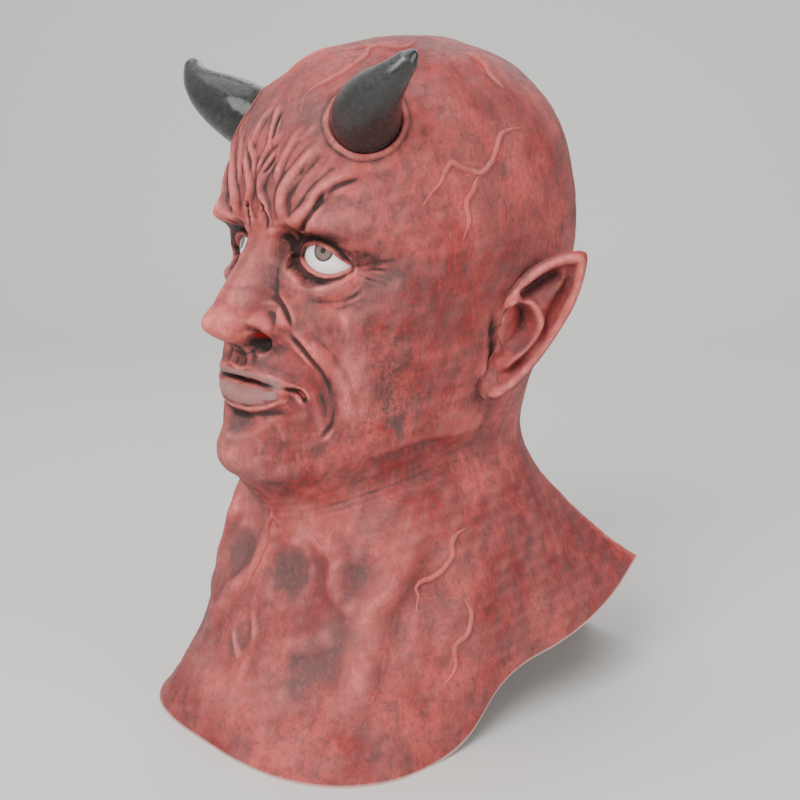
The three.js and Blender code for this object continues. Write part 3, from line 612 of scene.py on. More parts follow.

# Painted shade round the eyes and nostrils, under the brows, lip and jaw, by the ears and round the horns' feet
PAINTED_SHADE_FORMS = forms(
    (21, -95, 142, 11, 24, 13, 1.4), (40, -86, 147.5, 22, 24, 5.5, 0.8), (57, -74, 139.5, 13, 18, 6.5, 1.1),
    (15, -108, 91, 12.5, 18, 8, 1.4), (11, -110, 85, 3.6, 14, 7, 1.0), (20, -100, 134, 7, 20, 15, 0.4),
    (24, -103, 88, 8, 14, 6, 0.6), (2, -112, 50, 18, 20, 4.5, 0.35), (76, 2, 56, 9, 18, 13, 1.0),
    (49, -63, 205, 24, 24, 24, 0.3), (79, 0, 88, 7, 12, 20, 0.45), (62, -78, 178, 18, 20, 9, 0.35),
    (70, -34, 16, 30, 40, 7, 0.25))
# Grey tints round the eyes and nose, under the lip, on the brow, forehead, crown and chest, and in the neck's hollows
GREY_FORMS = forms(
    (42, -86, 122, 17, 22, 7.5, 1.3), (55, -80, 160, 24, 30, 20, 0.8), (36, -92, 176, 26, 30, 26, 0.55),
    (12, -86, 206, 42, 30, 28, 0.7), (45, -92, -72, 72, 60, 56, 0.45), (8, -96, 180, 16, 30, 26, 0.35),
    (0, -118, 42, 20, 26, 13, 1.0), (14, -106, 84, 22, 24, 12, 0.75), (35, -96, 108, 11, 22, 14, 0.8),
    (20, -116, 17, 18, 22, 9, 0.6), (23, -98, -38, 22, 28, 22, 1.0), (19, -100, 131, 10, 22, 18, 1.0),
    (65, -84, -34, 17, 26, 20, 0.9), (60, -104, -78, 26, 34, 28, 0.6), (40, -112, -100, 26, 30, 20, 0.6),
    (0, -118, -82, 14, 26, 16, 0.9), (92, -52, -50, 18, 26, 26, 0.5), (68, -66, 126, 14, 24, 10, 0.7),
    (45, -60, 236, 24, 30, 22, 0.6), (10, -118, 118, 8, 16, 8, 0.5), (60, -92, -112, 24, 26, 16, 0.5))
# Painted highlights on the nose, cheek, chin, brow, throat, chest and neck, and along the breast tendon
PAINTED_HIGHLIGHT_FORMS = forms(
    (5, -118, 124, 14, 30, 26, 0.3), (5, -128, 102, 15, 22, 12, 0.6), (52, -86, 106, 15, 22, 9, 0.8),
    (57, -80, 70, 9, 22, 28, 0.5), (8, -122, 29, 15, 22, 11, 0.7), (27, -96, 166, 16, 24, 30, 0.45),
    (32, -92, -10, 36, 30, 22, 0.7), (20, -122, -104, 44, 30, 18, 0.35), (80, 40, 20, 20, 40, 16, 0.4),
    (0, -98, -30, 9, 20, 30, 0.5))
PAINTED_HIGHLIGHT_FOLD = Fold([[79, -52, -10], [79, -70, -28], [76, -84, -48], [78, -90, -65], [80, -97, -80], [81, -104, -95],
        [83, -112, -112]], 14, 0.42)

# Painted shade round the eye, black over the upper lid and past its corner, grey in the lines below; seen from the
# front
EYE_SHADE: tuple[Fold, ...] = (
    Fold([[19, 0, 134], [22, 0, 140.5], [26, 0, 144.5], [31, 0, 146.8], [37, 0, 147], [43.5, 0, 145.5],
        [49, 0, 141], [54, 0, 137]], 4.6, 1.1, taper=0.12),
    Fold([[47, 0, 141], [54, 0, 136.5], [60, 0, 135.5], [68, 0, 136]], 5.5, 1.1, taper=0.2),
    Fold([[24, 0, 131], [30, 0, 127.8], [36, 0, 126.2], [42, 0, 125.8], [49, 0, 128.2]], 2.6, 0.2),
    Fold([[27, 0, 126], [34, 0, 122.5], [43, 0, 121]], 1.6, 0.7, True),
    Fold([[33, 0, 124.5], [41, 0, 123.5], [48, 0, 125]], 1.4, 0.6, True),
)

# Where the nose has less painted shade in its hollows
NOSE_BARE = Form((0, -118, 120), (27, 36, 31), 2.2)
# Deep red inside the nostrils
NOSTRIL_RED = Form((13, -106, 95), (4.6, 10, 4), 1.2)
BLUSH_FORMS = forms(
    (68, -62, 108, 26, 40, 34, 0.8), (62, -68, 52, 26, 40, 30, 1.0), (78, -35, 140, 24, 40, 34, 0.7),
    (70, -50, 16, 34, 50, 20, 0.8), (26, -74, 222, 16, 30, 16, 0.5), (30, -102, 42, 16, 26, 14, 0.5),
    (0, -128, 104, 22, 22, 15, 0.55))
ROUGH_FORMS = forms(
    (66, -64, 62, 36, 60, 56, 1.3), (30, -104, 30, 34, 40, 30, 0.9), (70, -50, 116, 30, 50, 30, 0.9))


@dataclass
class Nose:
    """The nose, standing out of the face by a distance at each height."""

    # Height, how far it stands out, and half the width of its foot
    rows: np.ndarray = field(default_factory=lambda: np.array([
        [156, 0, 12], [147, 2, 13], [135, 9, 16], [120, 17.5, 18.5], [110, 21.5, 21], [103, 21.5, 22],
        [97, 18.5, 22], [92, 13, 21], [88, 4, 20], [84, 0, 18]], float))
    tip: Form = Form((0, -128, 101), (14.5, 20, 13.5), 7.5)
    wing: Form = Form((20, -108, 102), (9, 17, 10), 5)
    arch: float = 8.5
    arch_at: float = 15.5
    arch_half: float = 5.5

    def push(self, base: np.ndarray, moved: np.ndarray) -> np.ndarray:
        """Moves points of the face out along the nose.

        Args:
            base: The points before any carving.
            moved: The same points, carved.

        Returns:
            The points with the nose pushed out.
        """
        face = smooth((-70 - base[:, 1]) / 12)
        x, z = base[:, 0], base[:, 2]
        low = smooth((107 - z) / 9)
        z = z - self.arch * low * np.exp(-(((np.abs(x) - self.arch_at) / self.arch_half) ** 2))
        place = np.interp(-z, -self.rows[:, 0], np.arange(len(self.rows)))
        out, half = np.moveaxis(catmull(self.rows[:, 1:], place), -1, 0)
        out = np.where((z < self.rows[0, 0]) & (z > self.rows[-1, 0]), np.maximum(out, 0), 0)
        rounding = 0.4
        slope = (np.hypot(x / half, rounding) - rounding) / (math.hypot(1, rounding) - rounding)
        result = moved.copy()
        result[:, 1] -= face * out * smooth(1.02 - slope) ** 0.8
        near = mirrored(result)
        result[:, 1] -= face * (self.tip.lift(near) + self.wing.lift(near))
        return result


@dataclass
class EyeOpening:
    """The lids: skin laid over the eyeball, with an almond opening and fine folds round it."""

    centre: np.ndarray = field(default_factory=lambda: np.array([30.3, -65.2, 136.0]))
    radius: float = 20.0
    turn: float = 24.0
    lid: float = 2.3
    blend: float = 4.0
    upper: Path = ((22, 135.6), (25.2, 140.6), (30.4, 143), (36, 143.3), (42.5, 140.8), (47.6, 136), (50.8, 132.6))
    lower: Path = ((50.8, 132.6), (48.2, 130.2), (44.6, 128.4), (40.6, 127.6), (35.6, 128.2), (31.2, 129.8),
                   (27, 132.2), (22, 135.6))
    behind: float = 2.2
    # Distance from the opening and depth of each fold under the eye
    bags: Path = ((3.0, 0.6), (4.8, 0.8), (6.8, 0.8), (9.0, 0.6))

    @property
    def axis(self) -> np.ndarray:
        """The direction the eyeball's dome faces."""
        turn = math.radians(self.turn)
        return np.array([math.sin(turn), -math.cos(turn), 0.0])

    def outline(self) -> np.ndarray:
        """The almond's outline, seen from the front."""
        upper, lower = curve_points(self.upper, 6), curve_points(self.lower, 6)
        return np.vstack([upper[:-1], lower[:-1]])

    def edge_distance(self, near: np.ndarray) -> np.ndarray:
        """Distance from the almond's outline seen from the front, negative inside it."""
        flat = near[:, [0, 2]]
        outline = self.outline()
        ends = np.roll(outline, -1, axis=0)
        best = np.full(len(flat), np.inf)
        inside = np.zeros(len(flat), bool)
        for start, end in zip(outline, ends):
            step = end - start
            f = np.clip((flat - start) @ step / max(step @ step, 1e-9), 0, 1)
            best = np.minimum(best, np.linalg.norm(flat - start - f[:, None] * step, axis=1))
            crosses = (start[1] > flat[:, 1]) != (end[1] > flat[:, 1])
            reach = start[0] + (flat[:, 1] - start[1]) * step[0] / (step[1] if step[1] else 1e-9)
            inside ^= crosses & (flat[:, 0] < reach)
        return np.where(inside, -best, best)

    def shape(self, points: np.ndarray) -> np.ndarray:
        """Lays the skin over the eyeball and opens the lids.

        Args:
            points: Points of the carved skin.

        Returns:
            The points with the lids made.
        """
        own = mirrored(points)
        offset = own - self.centre
        along = offset @ self.axis
        away = np.sqrt(np.maximum((offset**2).sum(1) - along**2, 0))
        reach = self.radius + self.lid
        chosen = np.flatnonzero((away < reach) & (along > -5))
        here, along, away = own[chosen], along[chosen], away[chosen]
        distance = self.edge_distance(here)
        lid = np.sqrt(reach**2 - away**2)
        meeting = np.maximum(self.blend - np.abs(lid - along), 0) / self.blend
        over = np.maximum(lid, along) + meeting**2 * self.blend / 4
        tight = smooth((6.5 - distance) / 5)
        weight = np.maximum(tight, smooth((lid - along) / 2))
        here = here + self.axis * (over + (lid - over) * tight - along)[:, None]
        distance = self.edge_distance(here)
        upper = here[:, 2] > 136 - 0.1 * (here[:, 0] - 21)
        crease = np.where(upper, -1.2 * notch(np.abs(distance - 3.6) / 1.5), 0.0)
        roll = 0.6 * dome(np.abs(distance - 1.2) / 1.6)
        wave = 0.7 * np.sin(here[:, 0] * 0.55) + 0.4 * np.sin(here[:, 0] * 1.3 + 1)
        bags = sum(-depth * notch(np.abs(distance - at - wave) / 1.3) for at, depth in self.bags)
        lift = crease + roll + np.where(upper, 0.0, bags * smooth((11 - distance) / 3))
        outward = (here - self.centre) / np.linalg.norm(here - self.centre, axis=1, keepdims=True)
        here = here + outward * (lift * smooth(distance / 1.0) * weight)[:, None]
        opened = smooth(-distance / 1.3 + 0.1)
        floor = np.sqrt(np.maximum((self.radius - self.behind) ** 2 - away**2, 0))
        here = here + self.axis * ((floor - (here - self.centre) @ self.axis) * opened)[:, None]
        here[:, 0] *= np.where(points[chosen, 0] < 0, -1.0, 1.0)
        result = points.copy()
        result[chosen] = here
        return result

    def clear(self, points: np.ndarray) -> np.ndarray:
        """Moves points of the lining back behind the eyeball."""
        offset = mirrored(points) - self.centre
        along = offset @ self.axis
        away = np.sqrt(np.maximum((offset**2).sum(1) - along**2, 0))
        back = np.maximum(along - self.radius * 0.25, 0) * smooth((self.radius + 10 - away) / 8)
        side = np.where(points[:, 0] < 0, -1.0, 1.0)
        axis = self.axis * np.column_stack([side, np.ones_like(side), np.ones_like(side)])
        return points - axis * back[:, None]


@dataclass
class HornSocket:
    """The collar of skin round a horn."""

    base: np.ndarray = field(default_factory=lambda: np.array([49.0, -63.0, 205.5]))
    towards: np.ndarray = field(default_factory=lambda: np.array([64.0, -76.0, 218.0]))
    radius: float = 20.3
    width: float = 2.4
    height: float = 1.0
    reach: float = 25.0
    hole: float = 19.3
    depth: float = 4.5

    def away(self, near: np.ndarray) -> np.ndarray:
        """Distance of each point from the horn's axis, large where it is far along it."""
        axis = (self.towards - self.base) / np.linalg.norm(self.towards - self.base)
        offset = near - self.base
        along = offset @ axis
        away = np.linalg.norm(offset - along[:, None] * axis, axis=1)
        return np.where(np.abs(along) < self.reach, away, 1e3)

    def lift(self, near: np.ndarray) -> np.ndarray:
        """How far the collar raises each point. Under the horn the skin is sunk."""
        away = self.away(near)
        uneven = 0.8 * ripple(near, 14, 5)
        ridge = self.height * dome(np.abs(away - self.radius - 0.4 * uneven) / self.width)
        ridge += 0.7 * dome(np.abs(away - self.radius - 2) / 9)
        return ridge - self.depth * smooth((self.hole - away) / 2)


@dataclass
class Carver:
    """Turns the smooth head form into the carved skin."""

    form: HeadForm
    nose: Nose = field(default_factory=Nose)
    eye: EyeOpening = field(default_factory=EyeOpening)
    socket: HornSocket = field(default_factory=HornSocket)
    # Height, size and seed of the skin's unevenness
    lumps: Path = ((0.35, 26, 3), (0.18, 9, 4))

    def lift(self, near: np.ndarray, base: np.ndarray) -> np.ndarray:
        """Total height of the carving above the smooth form, from mirrored and from true places."""
        both = (self.socket, *FORMS.values(), *RIDGES.values(), *CREASES.values())
        return lifted(LONE_FOLDS.values(), base, lifted(both, near))

    def skin(self, t: np.ndarray, u: np.ndarray) -> np.ndarray:
        """Points of the carved skin at rows t and angles u, one row each."""
        base = self.form.points(t, u)
        near = mirrored(base)
        # The two sides of the brow were not carved quite alike
        near[:, 2] += np.where(base[:, 0] < 0, 1.2, 0.0) * smooth((near[:, 2] - 150) / 20)
        lift = self.lift(near, base)
        for height, size, seed in self.lumps:
            lift = lift + height * ripple(base, size, seed)
        lift = lift * smooth((self.form.neck + 1 - t) / 0.1)
        moved = base + self.form.normals(t, u) * lift[:, None]
        shaped = self.eye.shape(self.nose.push(base, moved))
        return np.clip(shaped, *BOX)

    def skin_normals(self, t: np.ndarray, u: np.ndarray) -> np.ndarray:
        """Outward directions of the carved skin at rows t and angles u."""
        dt, du = 0.02, 0.006
        down = self.skin(t + dt, u) - self.skin(t - dt, u)
        around = self.skin(t, u + du) - self.skin(t, u - du)
        normal = np.cross(down, around)
        return normal / np.maximum(np.linalg.norm(normal, axis=-1, keepdims=True), 1e-9)

    def under(self, t: np.ndarray, u: np.ndarray, above: float) -> np.ndarray:
        """Points inside the wall, a distance above the lining."""
        return self.lining(t, u) + self.form.normals(t, u) * above

    def lining(self, t: np.ndarray, u: np.ndarray) -> np.ndarray:
        """Points of the inside of the wall, which follows the broad forms only."""
        base = self.form.points(t, u)
        near = mirrored(base)
        broad = lifted((form for form in FORMS.values() if form.broad), near)
        moved = base + self.form.normals(t, u) * (broad - WALL)[:, None]
        pushed = self.nose.push(base, moved)
        return self.eye.clear(moved + 0.5 * (pushed - moved))


def stops(first: float, *parts: tuple[float, int]) -> np.ndarray:
    """Rising values in stretches, each with its own count of steps."""
    values = [np.array([first])]
    start = first
    for end, count in parts:
        values.append(np.linspace(start, end, count + 1)[1:])
        start = end
    return np.concatenate(values)


def marks_on(carver: Carver, t: np.ndarray, u: np.ndarray, surface: np.ndarray) -> dict[str, np.ndarray]:
    """Works out the painted masks of a grid of skin.

    Args:
        carver: The carver that shaped the grid.
        t: The grid's rows.
        u: The grid's angles.
        surface: The grid's points, by row and column.

    Returns:
        Three numbers a point for each of the masks shade_and_tint, marks and extra.
    """
    points = surface.reshape(-1, 3)
    near = mirrored(points)
    # The hollows take painted shade and the crests painted highlights
    hollow, crest = relief(surface, carver.form.normals(t, u))
    # Painted shade in the narrow creases and the places listed
    creases = sum(crease.dark * crease.weight(near) for crease in CREASES.values() if crease.sharp)
    dark = np.clip(lifted(PAINTED_SHADE_FORMS, near) + creases, 0, 1)
    # Painted shade round the eyes
    level = near * (1, 0, 1)
    lines = lifted(EYE_SHADE, level) * (near[:, 1] < -50)
    # Painted shade in a ring round each horn's foot
    horn = carver.socket.away(near)
    foot = smooth((horn - 19.5) / 1.5) * smooth((25 - horn) / 4)
    dark = np.clip(dark + lines + 0.45 * foot, 0, 1)
    grey, blush, rough = (np.clip(lifted(parts, near), 0, 1) for parts in (GREY_FORMS, BLUSH_FORMS, ROUGH_FORMS))
    # Less painted shade in the nose's hollows and low on the bib
    hollow *= (1 - 0.85 * smooth(NOSE_BARE.lift(near))) * (0.4 + 0.6 * smooth((near[:, 2] + 12) / 12))
    # Painted highlights on the crests and in the places listed
    crest = np.clip(crest + lifted((*PAINTED_HIGHLIGHT_FORMS, PAINTED_HIGHLIGHT_FOLD), near), 0, 1)
    nostril = smooth(NOSTRIL_RED.lift(near))
    rim = smooth((t.ravel() - RIM_ROW) / 0.015)
    masks = {"shade_and_tint": (dark, grey, blush), "marks": (lips_on(near), crest, hollow), "extra": (nostril, rim, rough)}
    return {name: np.column_stack(values) for name, values in masks.items()}


def lips_on(near: np.ndarray) -> np.ndarray:
    """Where the lips are painted, 0 to 1."""
    level = near * (1, 0, 1)
    upper = Fold([[0, 0, 72], [8, 0, 72.8], [14, 0, 72.5], [22, 0, 71.3], [28, 0, 69.3], [32, 0, 66.5]], 3.8, 1)
    lower = Fold([[0, 0, 61.5], [9, 0, 61.8], [16, 0, 62.5], [21, 0, 63.3]], 7.6, 1)
    corner = Fold([[17, 0, 63], [23, 0, 63.6], [29, 0, 65]], 4, 1)
    painted = np.maximum(np.maximum(upper.weight(level), lower.weight(level)), corner.weight(level))
    return smooth(painted * 1.7 - 0.1) * (near[:, 1] < -85)


def relief(surface: np.ndarray, normal: np.ndarray) -> tuple[np.ndarray, np.ndarray]:
    """How far each point lies in a hollow or stands on a crest, which set the painted shade and the painted highlights.

    Args:
        surface: A grid's points, by row and column.
        normal: The smooth form's directions at those points.

    Returns:
        The hollow and crest weights, 0 to 1, one each point.
    """
    down = np.linalg.norm(np.gradient(surface, axis=0), axis=-1)
    around = np.linalg.norm(np.gradient(surface, axis=1), axis=-1)
    hollow, crest = np.zeros(surface.shape[:2]), np.zeros(surface.shape[:2])
    for reach, scale in ((1.2, 0.25), (2.4, 0.9)):
        eased = surface
        passes = 12
        # Each pass moves a point towards its neighbours by as much as its cell size asks for
        along_rows = np.minimum(reach**2 / (passes * down**2), 0.5)[..., None]
        along_columns = np.minimum(reach**2 / (passes * around**2), 0.5)[..., None]
        for _ in range(passes):
            rows = eased.copy()
            rows[1:-1] += along_rows[1:-1] * (eased[:-2] + eased[2:] - 2 * eased[1:-1]) / 2
            eased = rows.copy()
            eased[:, 1:-1] += along_columns[:, 1:-1] * (rows[:, :-2] + rows[:, 2:] - 2 * rows[:, 1:-1]) / 2
        depth = ((eased - surface) * normal).sum(-1) / scale
        hollow += np.clip(depth, 0, 1)
        crest += np.clip(-depth, 0, 1)
    fine = smooth((2.6 - down) / 1.2) * 0.75 + 0.25
    return np.clip(hollow * fine, 0, 1).ravel(), np.clip(crest * 0.7 * fine, 0, 1).ravel()


def set_normals(piece: bpy.types.Object, chosen: np.ndarray, normals: np.ndarray, faces: int) -> None:
    """Gives some points of a piece fixed shading directions on its first faces.

    Args:
        piece: The piece, with its sharp edges marked.
        chosen: The indices of the points.
        normals: Their directions, one row each.
        faces: How many of the piece's faces take them, from the first.
    """
    mesh = piece.data
    corners = corners_of(piece)
    current = np.zeros(len(corners) * 3)
    mesh.corner_normals.foreach_get("vector", current)
    current = current.reshape(-1, 3)
    lookup = np.full(len(mesh.vertices), -1)
    lookup[chosen] = np.arange(len(chosen))
    found = lookup[corners]
    found[sum(p.loop_total for p in mesh.polygons[:faces]):] = -1
    current[found >= 0] = normals[found[found >= 0]]
    mesh.normals_split_custom_set(current.tolist())


@dataclass(frozen=True)
class FaceWindow:
    """The part of the head whose skin is made of finer pieces: from a top row to a low one, and to each side."""

    top: float = 2.8
    bottom: float = 14.6
    side: float = 68.0

    def inside(self, t: np.ndarray, u: np.ndarray, margin: float = -1e-6) -> np.ndarray:
        """Which places lie inside the window, not counting its border unless the margin is above 0."""
        angle = np.abs(np.degrees(np.arctan2(np.sin(u), np.cos(u))))
        return (t > self.top - margin) & (t < self.bottom + margin) & (angle < self.side + margin)

    def border(self, t: np.ndarray, u: np.ndarray) -> np.ndarray:
        """Which places lie on the window's border."""
        return self.inside(t, u, 1e-6) & ~self.inside(t, u)


@dataclass
class Face:
    """One half of the face, a closed scale of finely carved skin."""

    carver: Carver
    window: FaceWindow
    # Where each stretch of the grid ends, up to the window's border, and its count of steps
    half_angles: tuple[tuple[float, int], ...] = ((11, 40), (38, 98), (68, 60))
    rows: tuple[tuple[float, int], ...] = ((3.6, 24), (6.6, 120), (8.15, 76), (13, 160), (14.6, 40))
    halo: int = 10
    coarse: int = 6
    cover: float = 0.8

    def build(self, name: str, sign: int, material: bpy.types.Material) -> bpy.types.Object:
        """Makes one half.

        Args:
            name: The piece's name.
            sign: 1 for the mask's left, -1 for its right.
            material: The skin's finish.

        Returns:
            The piece.
        """
        angles = np.radians(stops(0.0, *self.half_angles))
        rows = stops(self.window.top, *self.rows)
        t, u = np.meshgrid(self.widened(rows), sign * self.widened(angles), indexing="ij")
        surface = self.carver.skin(t.ravel(), u.ravel()).reshape(*t.shape, 3)
        masks = marks_on(self.carver, t, u, surface)
        keep = (slice(self.halo, -self.halo),) * 2
        grid = np.arange(len(rows) * len(angles)).reshape(len(rows), len(angles))
        low_t, low_u = t[keep][:: self.coarse, :: self.coarse], u[keep][:: self.coarse, :: self.coarse]
        below = self.carver.under(low_t.ravel(), low_u.ravel(), self.cover)
        points = np.vstack([surface[keep].reshape(-1, 3), below])
        low = grid.size + np.arange(low_t.size).reshape(low_t.shape)
        top = sheet(grid)
        faces = top + [face[::-1] for face in sheet(low)] + self.skirts(grid, low)
        if sign < 0:
            faces = [face[::-1] for face in faces]
        piece = make_mesh(name, points, faces)
        for key, values in masks.items():
            cropped = values.reshape(*t.shape, 3)[keep].reshape(-1, 3)
            paint(piece, key, np.vstack([cropped, np.zeros((low.size, 3))]))
        coat(piece, material, SKIN_SHARP)
        edge = np.unique(np.concatenate([grid[0], grid[-1], grid[:, 0], grid[:, -1]]))
        spots = t[keep].ravel()[edge], u[keep].ravel()[edge]
        set_normals(piece, edge, self.carver.skin_normals(*spots), len(top))
        finish_piece(piece)
        return piece

    def widened(self, values: np.ndarray) -> np.ndarray:
        """Adds a few more steps before and after, so that the masks run on over the border."""
        steps = np.arange(1, self.halo + 1)
        before = values[0] - steps[::-1] * (values[1] - values[0])
        after = values[-1] + steps * (values[-1] - values[-2])
        return np.concatenate([before, values, after])

    def skirts(self, grid: np.ndarray, low: np.ndarray) -> list:
        """Triangles that close the border between the fine top and the coarse underside."""
        faces = []
        sides = ((grid[:, 0], low[:, 0], 1), (grid[:, -1], low[:, -1], -1),
                 (grid[0], low[0], -1), (grid[-1], low[-1], 1))
        for fine, rough, way in sides:
            for k in range(len(rough) - 1):
                a, b = int(rough[k]), int(rough[k + 1])
                run = fine[k * self.coarse: (k + 1) * self.coarse + 1].tolist()
                strip = [(a, second, first) for first, second in zip(run, run[1:])] + [(a, b, run[-1])]
                faces += [face if way > 0 else face[::-1] for face in strip]
        return faces


@dataclass
class Skin:
    """The latex skin: a carved outside, a lining and the cut edge between them.

    Behind the fine pieces of the face the outside is sunk to just above the lining.
    """

    carver: Carver
    window: FaceWindow
    # Where each stretch of the grid ends and its count of steps, with lines along the window's border
    half_angles: tuple[tuple[float, int], ...] = ((68, 64), (135, 58), (180, 26))
    rows: tuple[tuple[float, int], ...] = ((2.8, 34), (14.6, 116), (16, 18), (RIM_ROW, 92), (17, 1))
    cover: float = 0.35
    lining_columns: int = 60
    lining_rows: tuple[tuple[float, int], ...] = ((15.9, 28), (17, 20))

    def build(self, material: bpy.types.Material) -> bpy.types.Object:
        """Makes the skin as one closed piece.

        Args:
            material: The skin's finish.

        Returns:
            The piece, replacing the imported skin.
        """
        t, u, outer = self.outside()
        rows, columns = t.shape
        inner_t, inner_u, inner = self.inside()
        crown = self.carver.skin(np.array([0.001]), np.array([0.0]))
        hidden = self.window.inside(t, u).ravel()
        shown = outer.copy()
        shown[hidden] = self.carver.under(t.ravel()[hidden], u.ravel()[hidden], self.cover)
        points = np.vstack([shown, crown, inner, [CEILING]])
        grid = np.arange(rows * columns).reshape(rows, columns)
        top = rows * columns
        lining = top + 1 + np.arange(inner_t.size).reshape(inner_t.shape)
        roof = top + 1 + inner_t.size
        faces = bands(grid) + fan(top, grid[0])
        outside_faces = len(faces)
        faces += [face[::-1] for face in bands(lining)] + fan(roof, lining[0], True)
        faces += self.cut_edge(grid[-1], u[0], lining[-1], inner_u[0])
        piece = make_mesh("skin", points, faces)
        self.paint_masks(piece, t, u, outer, len(points))
        coat(piece, material, SKIN_SHARP)
        edge = np.flatnonzero(self.window.border(t, u).ravel())
        normals = self.carver.skin_normals(t.ravel()[edge], u.ravel()[edge])
        set_normals(piece, edge, normals, outside_faces)
        finish_piece(piece, ["mask"])
        return piece

    def outside(self) -> tuple[np.ndarray, np.ndarray, np.ndarray]:
        """The rows, angles and points of the outside grid."""
        half = np.radians(stops(0.0, *self.half_angles))
        angles = np.concatenate([half, 2 * math.pi - half[1:-1][::-1]])
        rows = stops(0.12, *self.rows)
        t, u = np.meshgrid(rows, angles, indexing="ij")
        return t, u, self.carver.skin(t.ravel(), u.ravel())

    def inside(self) -> tuple[np.ndarray, np.ndarray, np.ndarray]:
        """The rows, angles and points of the lining grid."""
        even = np.arange(self.lining_columns) * 2 * math.pi / self.lining_columns
        angles = even - 0.35 * np.sin(even)
        for corner in (135, 225):
            angles[np.argmin(np.abs(angles - math.radians(corner)))] = math.radians(corner)
        rows = stops(0.5, *self.lining_rows)
        t, u = np.meshgrid(rows, angles, indexing="ij")
        points = self.carver.lining(t.ravel(), u.ravel())
        return t, u, np.clip(points, *BOX)

    @staticmethod
    def cut_edge(upper: np.ndarray, upper_angles: np.ndarray, lower: np.ndarray, lower_angles: np.ndarray) -> list:
        """Triangles of the cut edge, between two rings of different counts."""
        turn = 2 * math.pi

        def angle(values: np.ndarray, i: int) -> float:
            """The angle at a place that may pass the ring's end."""
            return values[i % len(values)] + turn * (i // len(values))

        faces = []
        i = j = 0
        while i < len(upper) or j < len(lower):
            a, b = int(upper[i % len(upper)]), int(lower[j % len(lower)])
            first = i < len(upper) and (j >= len(lower) or angle(upper_angles, i + 1) <= angle(lower_angles, j + 1))
            if first:
                faces.append((a, b, int(upper[(i + 1) % len(upper)])))
                i += 1
            else:
                faces.append((a, b, int(lower[(j + 1) % len(lower)])))
                j += 1
        return faces

    def paint_masks(self, piece: bpy.types.Object, t: np.ndarray, u: np.ndarray, outer: np.ndarray, count: int) -> None:
        """Paints the masks that the skin's finish reads.

        Args:
            piece: The skin.
            t: The outside grid's rows.
            u: The outside grid's angles.
            outer: The outside grid's points.
            count: How many points the skin has.
        """
        # A few columns more at the join, so that the masks meet there
        wide = 12
        around = np.concatenate([np.arange(t.shape[1]), np.arange(wide)])
        around = np.concatenate([np.arange(t.shape[1] - wide, t.shape[1]), around])
        surface = outer.reshape(*t.shape, 3)[:, around]
        masks = marks_on(self.carver, t[:, around], u[:, around], surface)
        for name, values in masks.items():
            cropped = values.reshape(len(t), -1, 3)[:, wide:-wide].reshape(-1, 3)
            rows = np.zeros((count, 3))
            rows[: t.size] = cropped
            if name == "extra":
                rows[t.size:, 1] = 0.4
            paint(piece, name, rows)


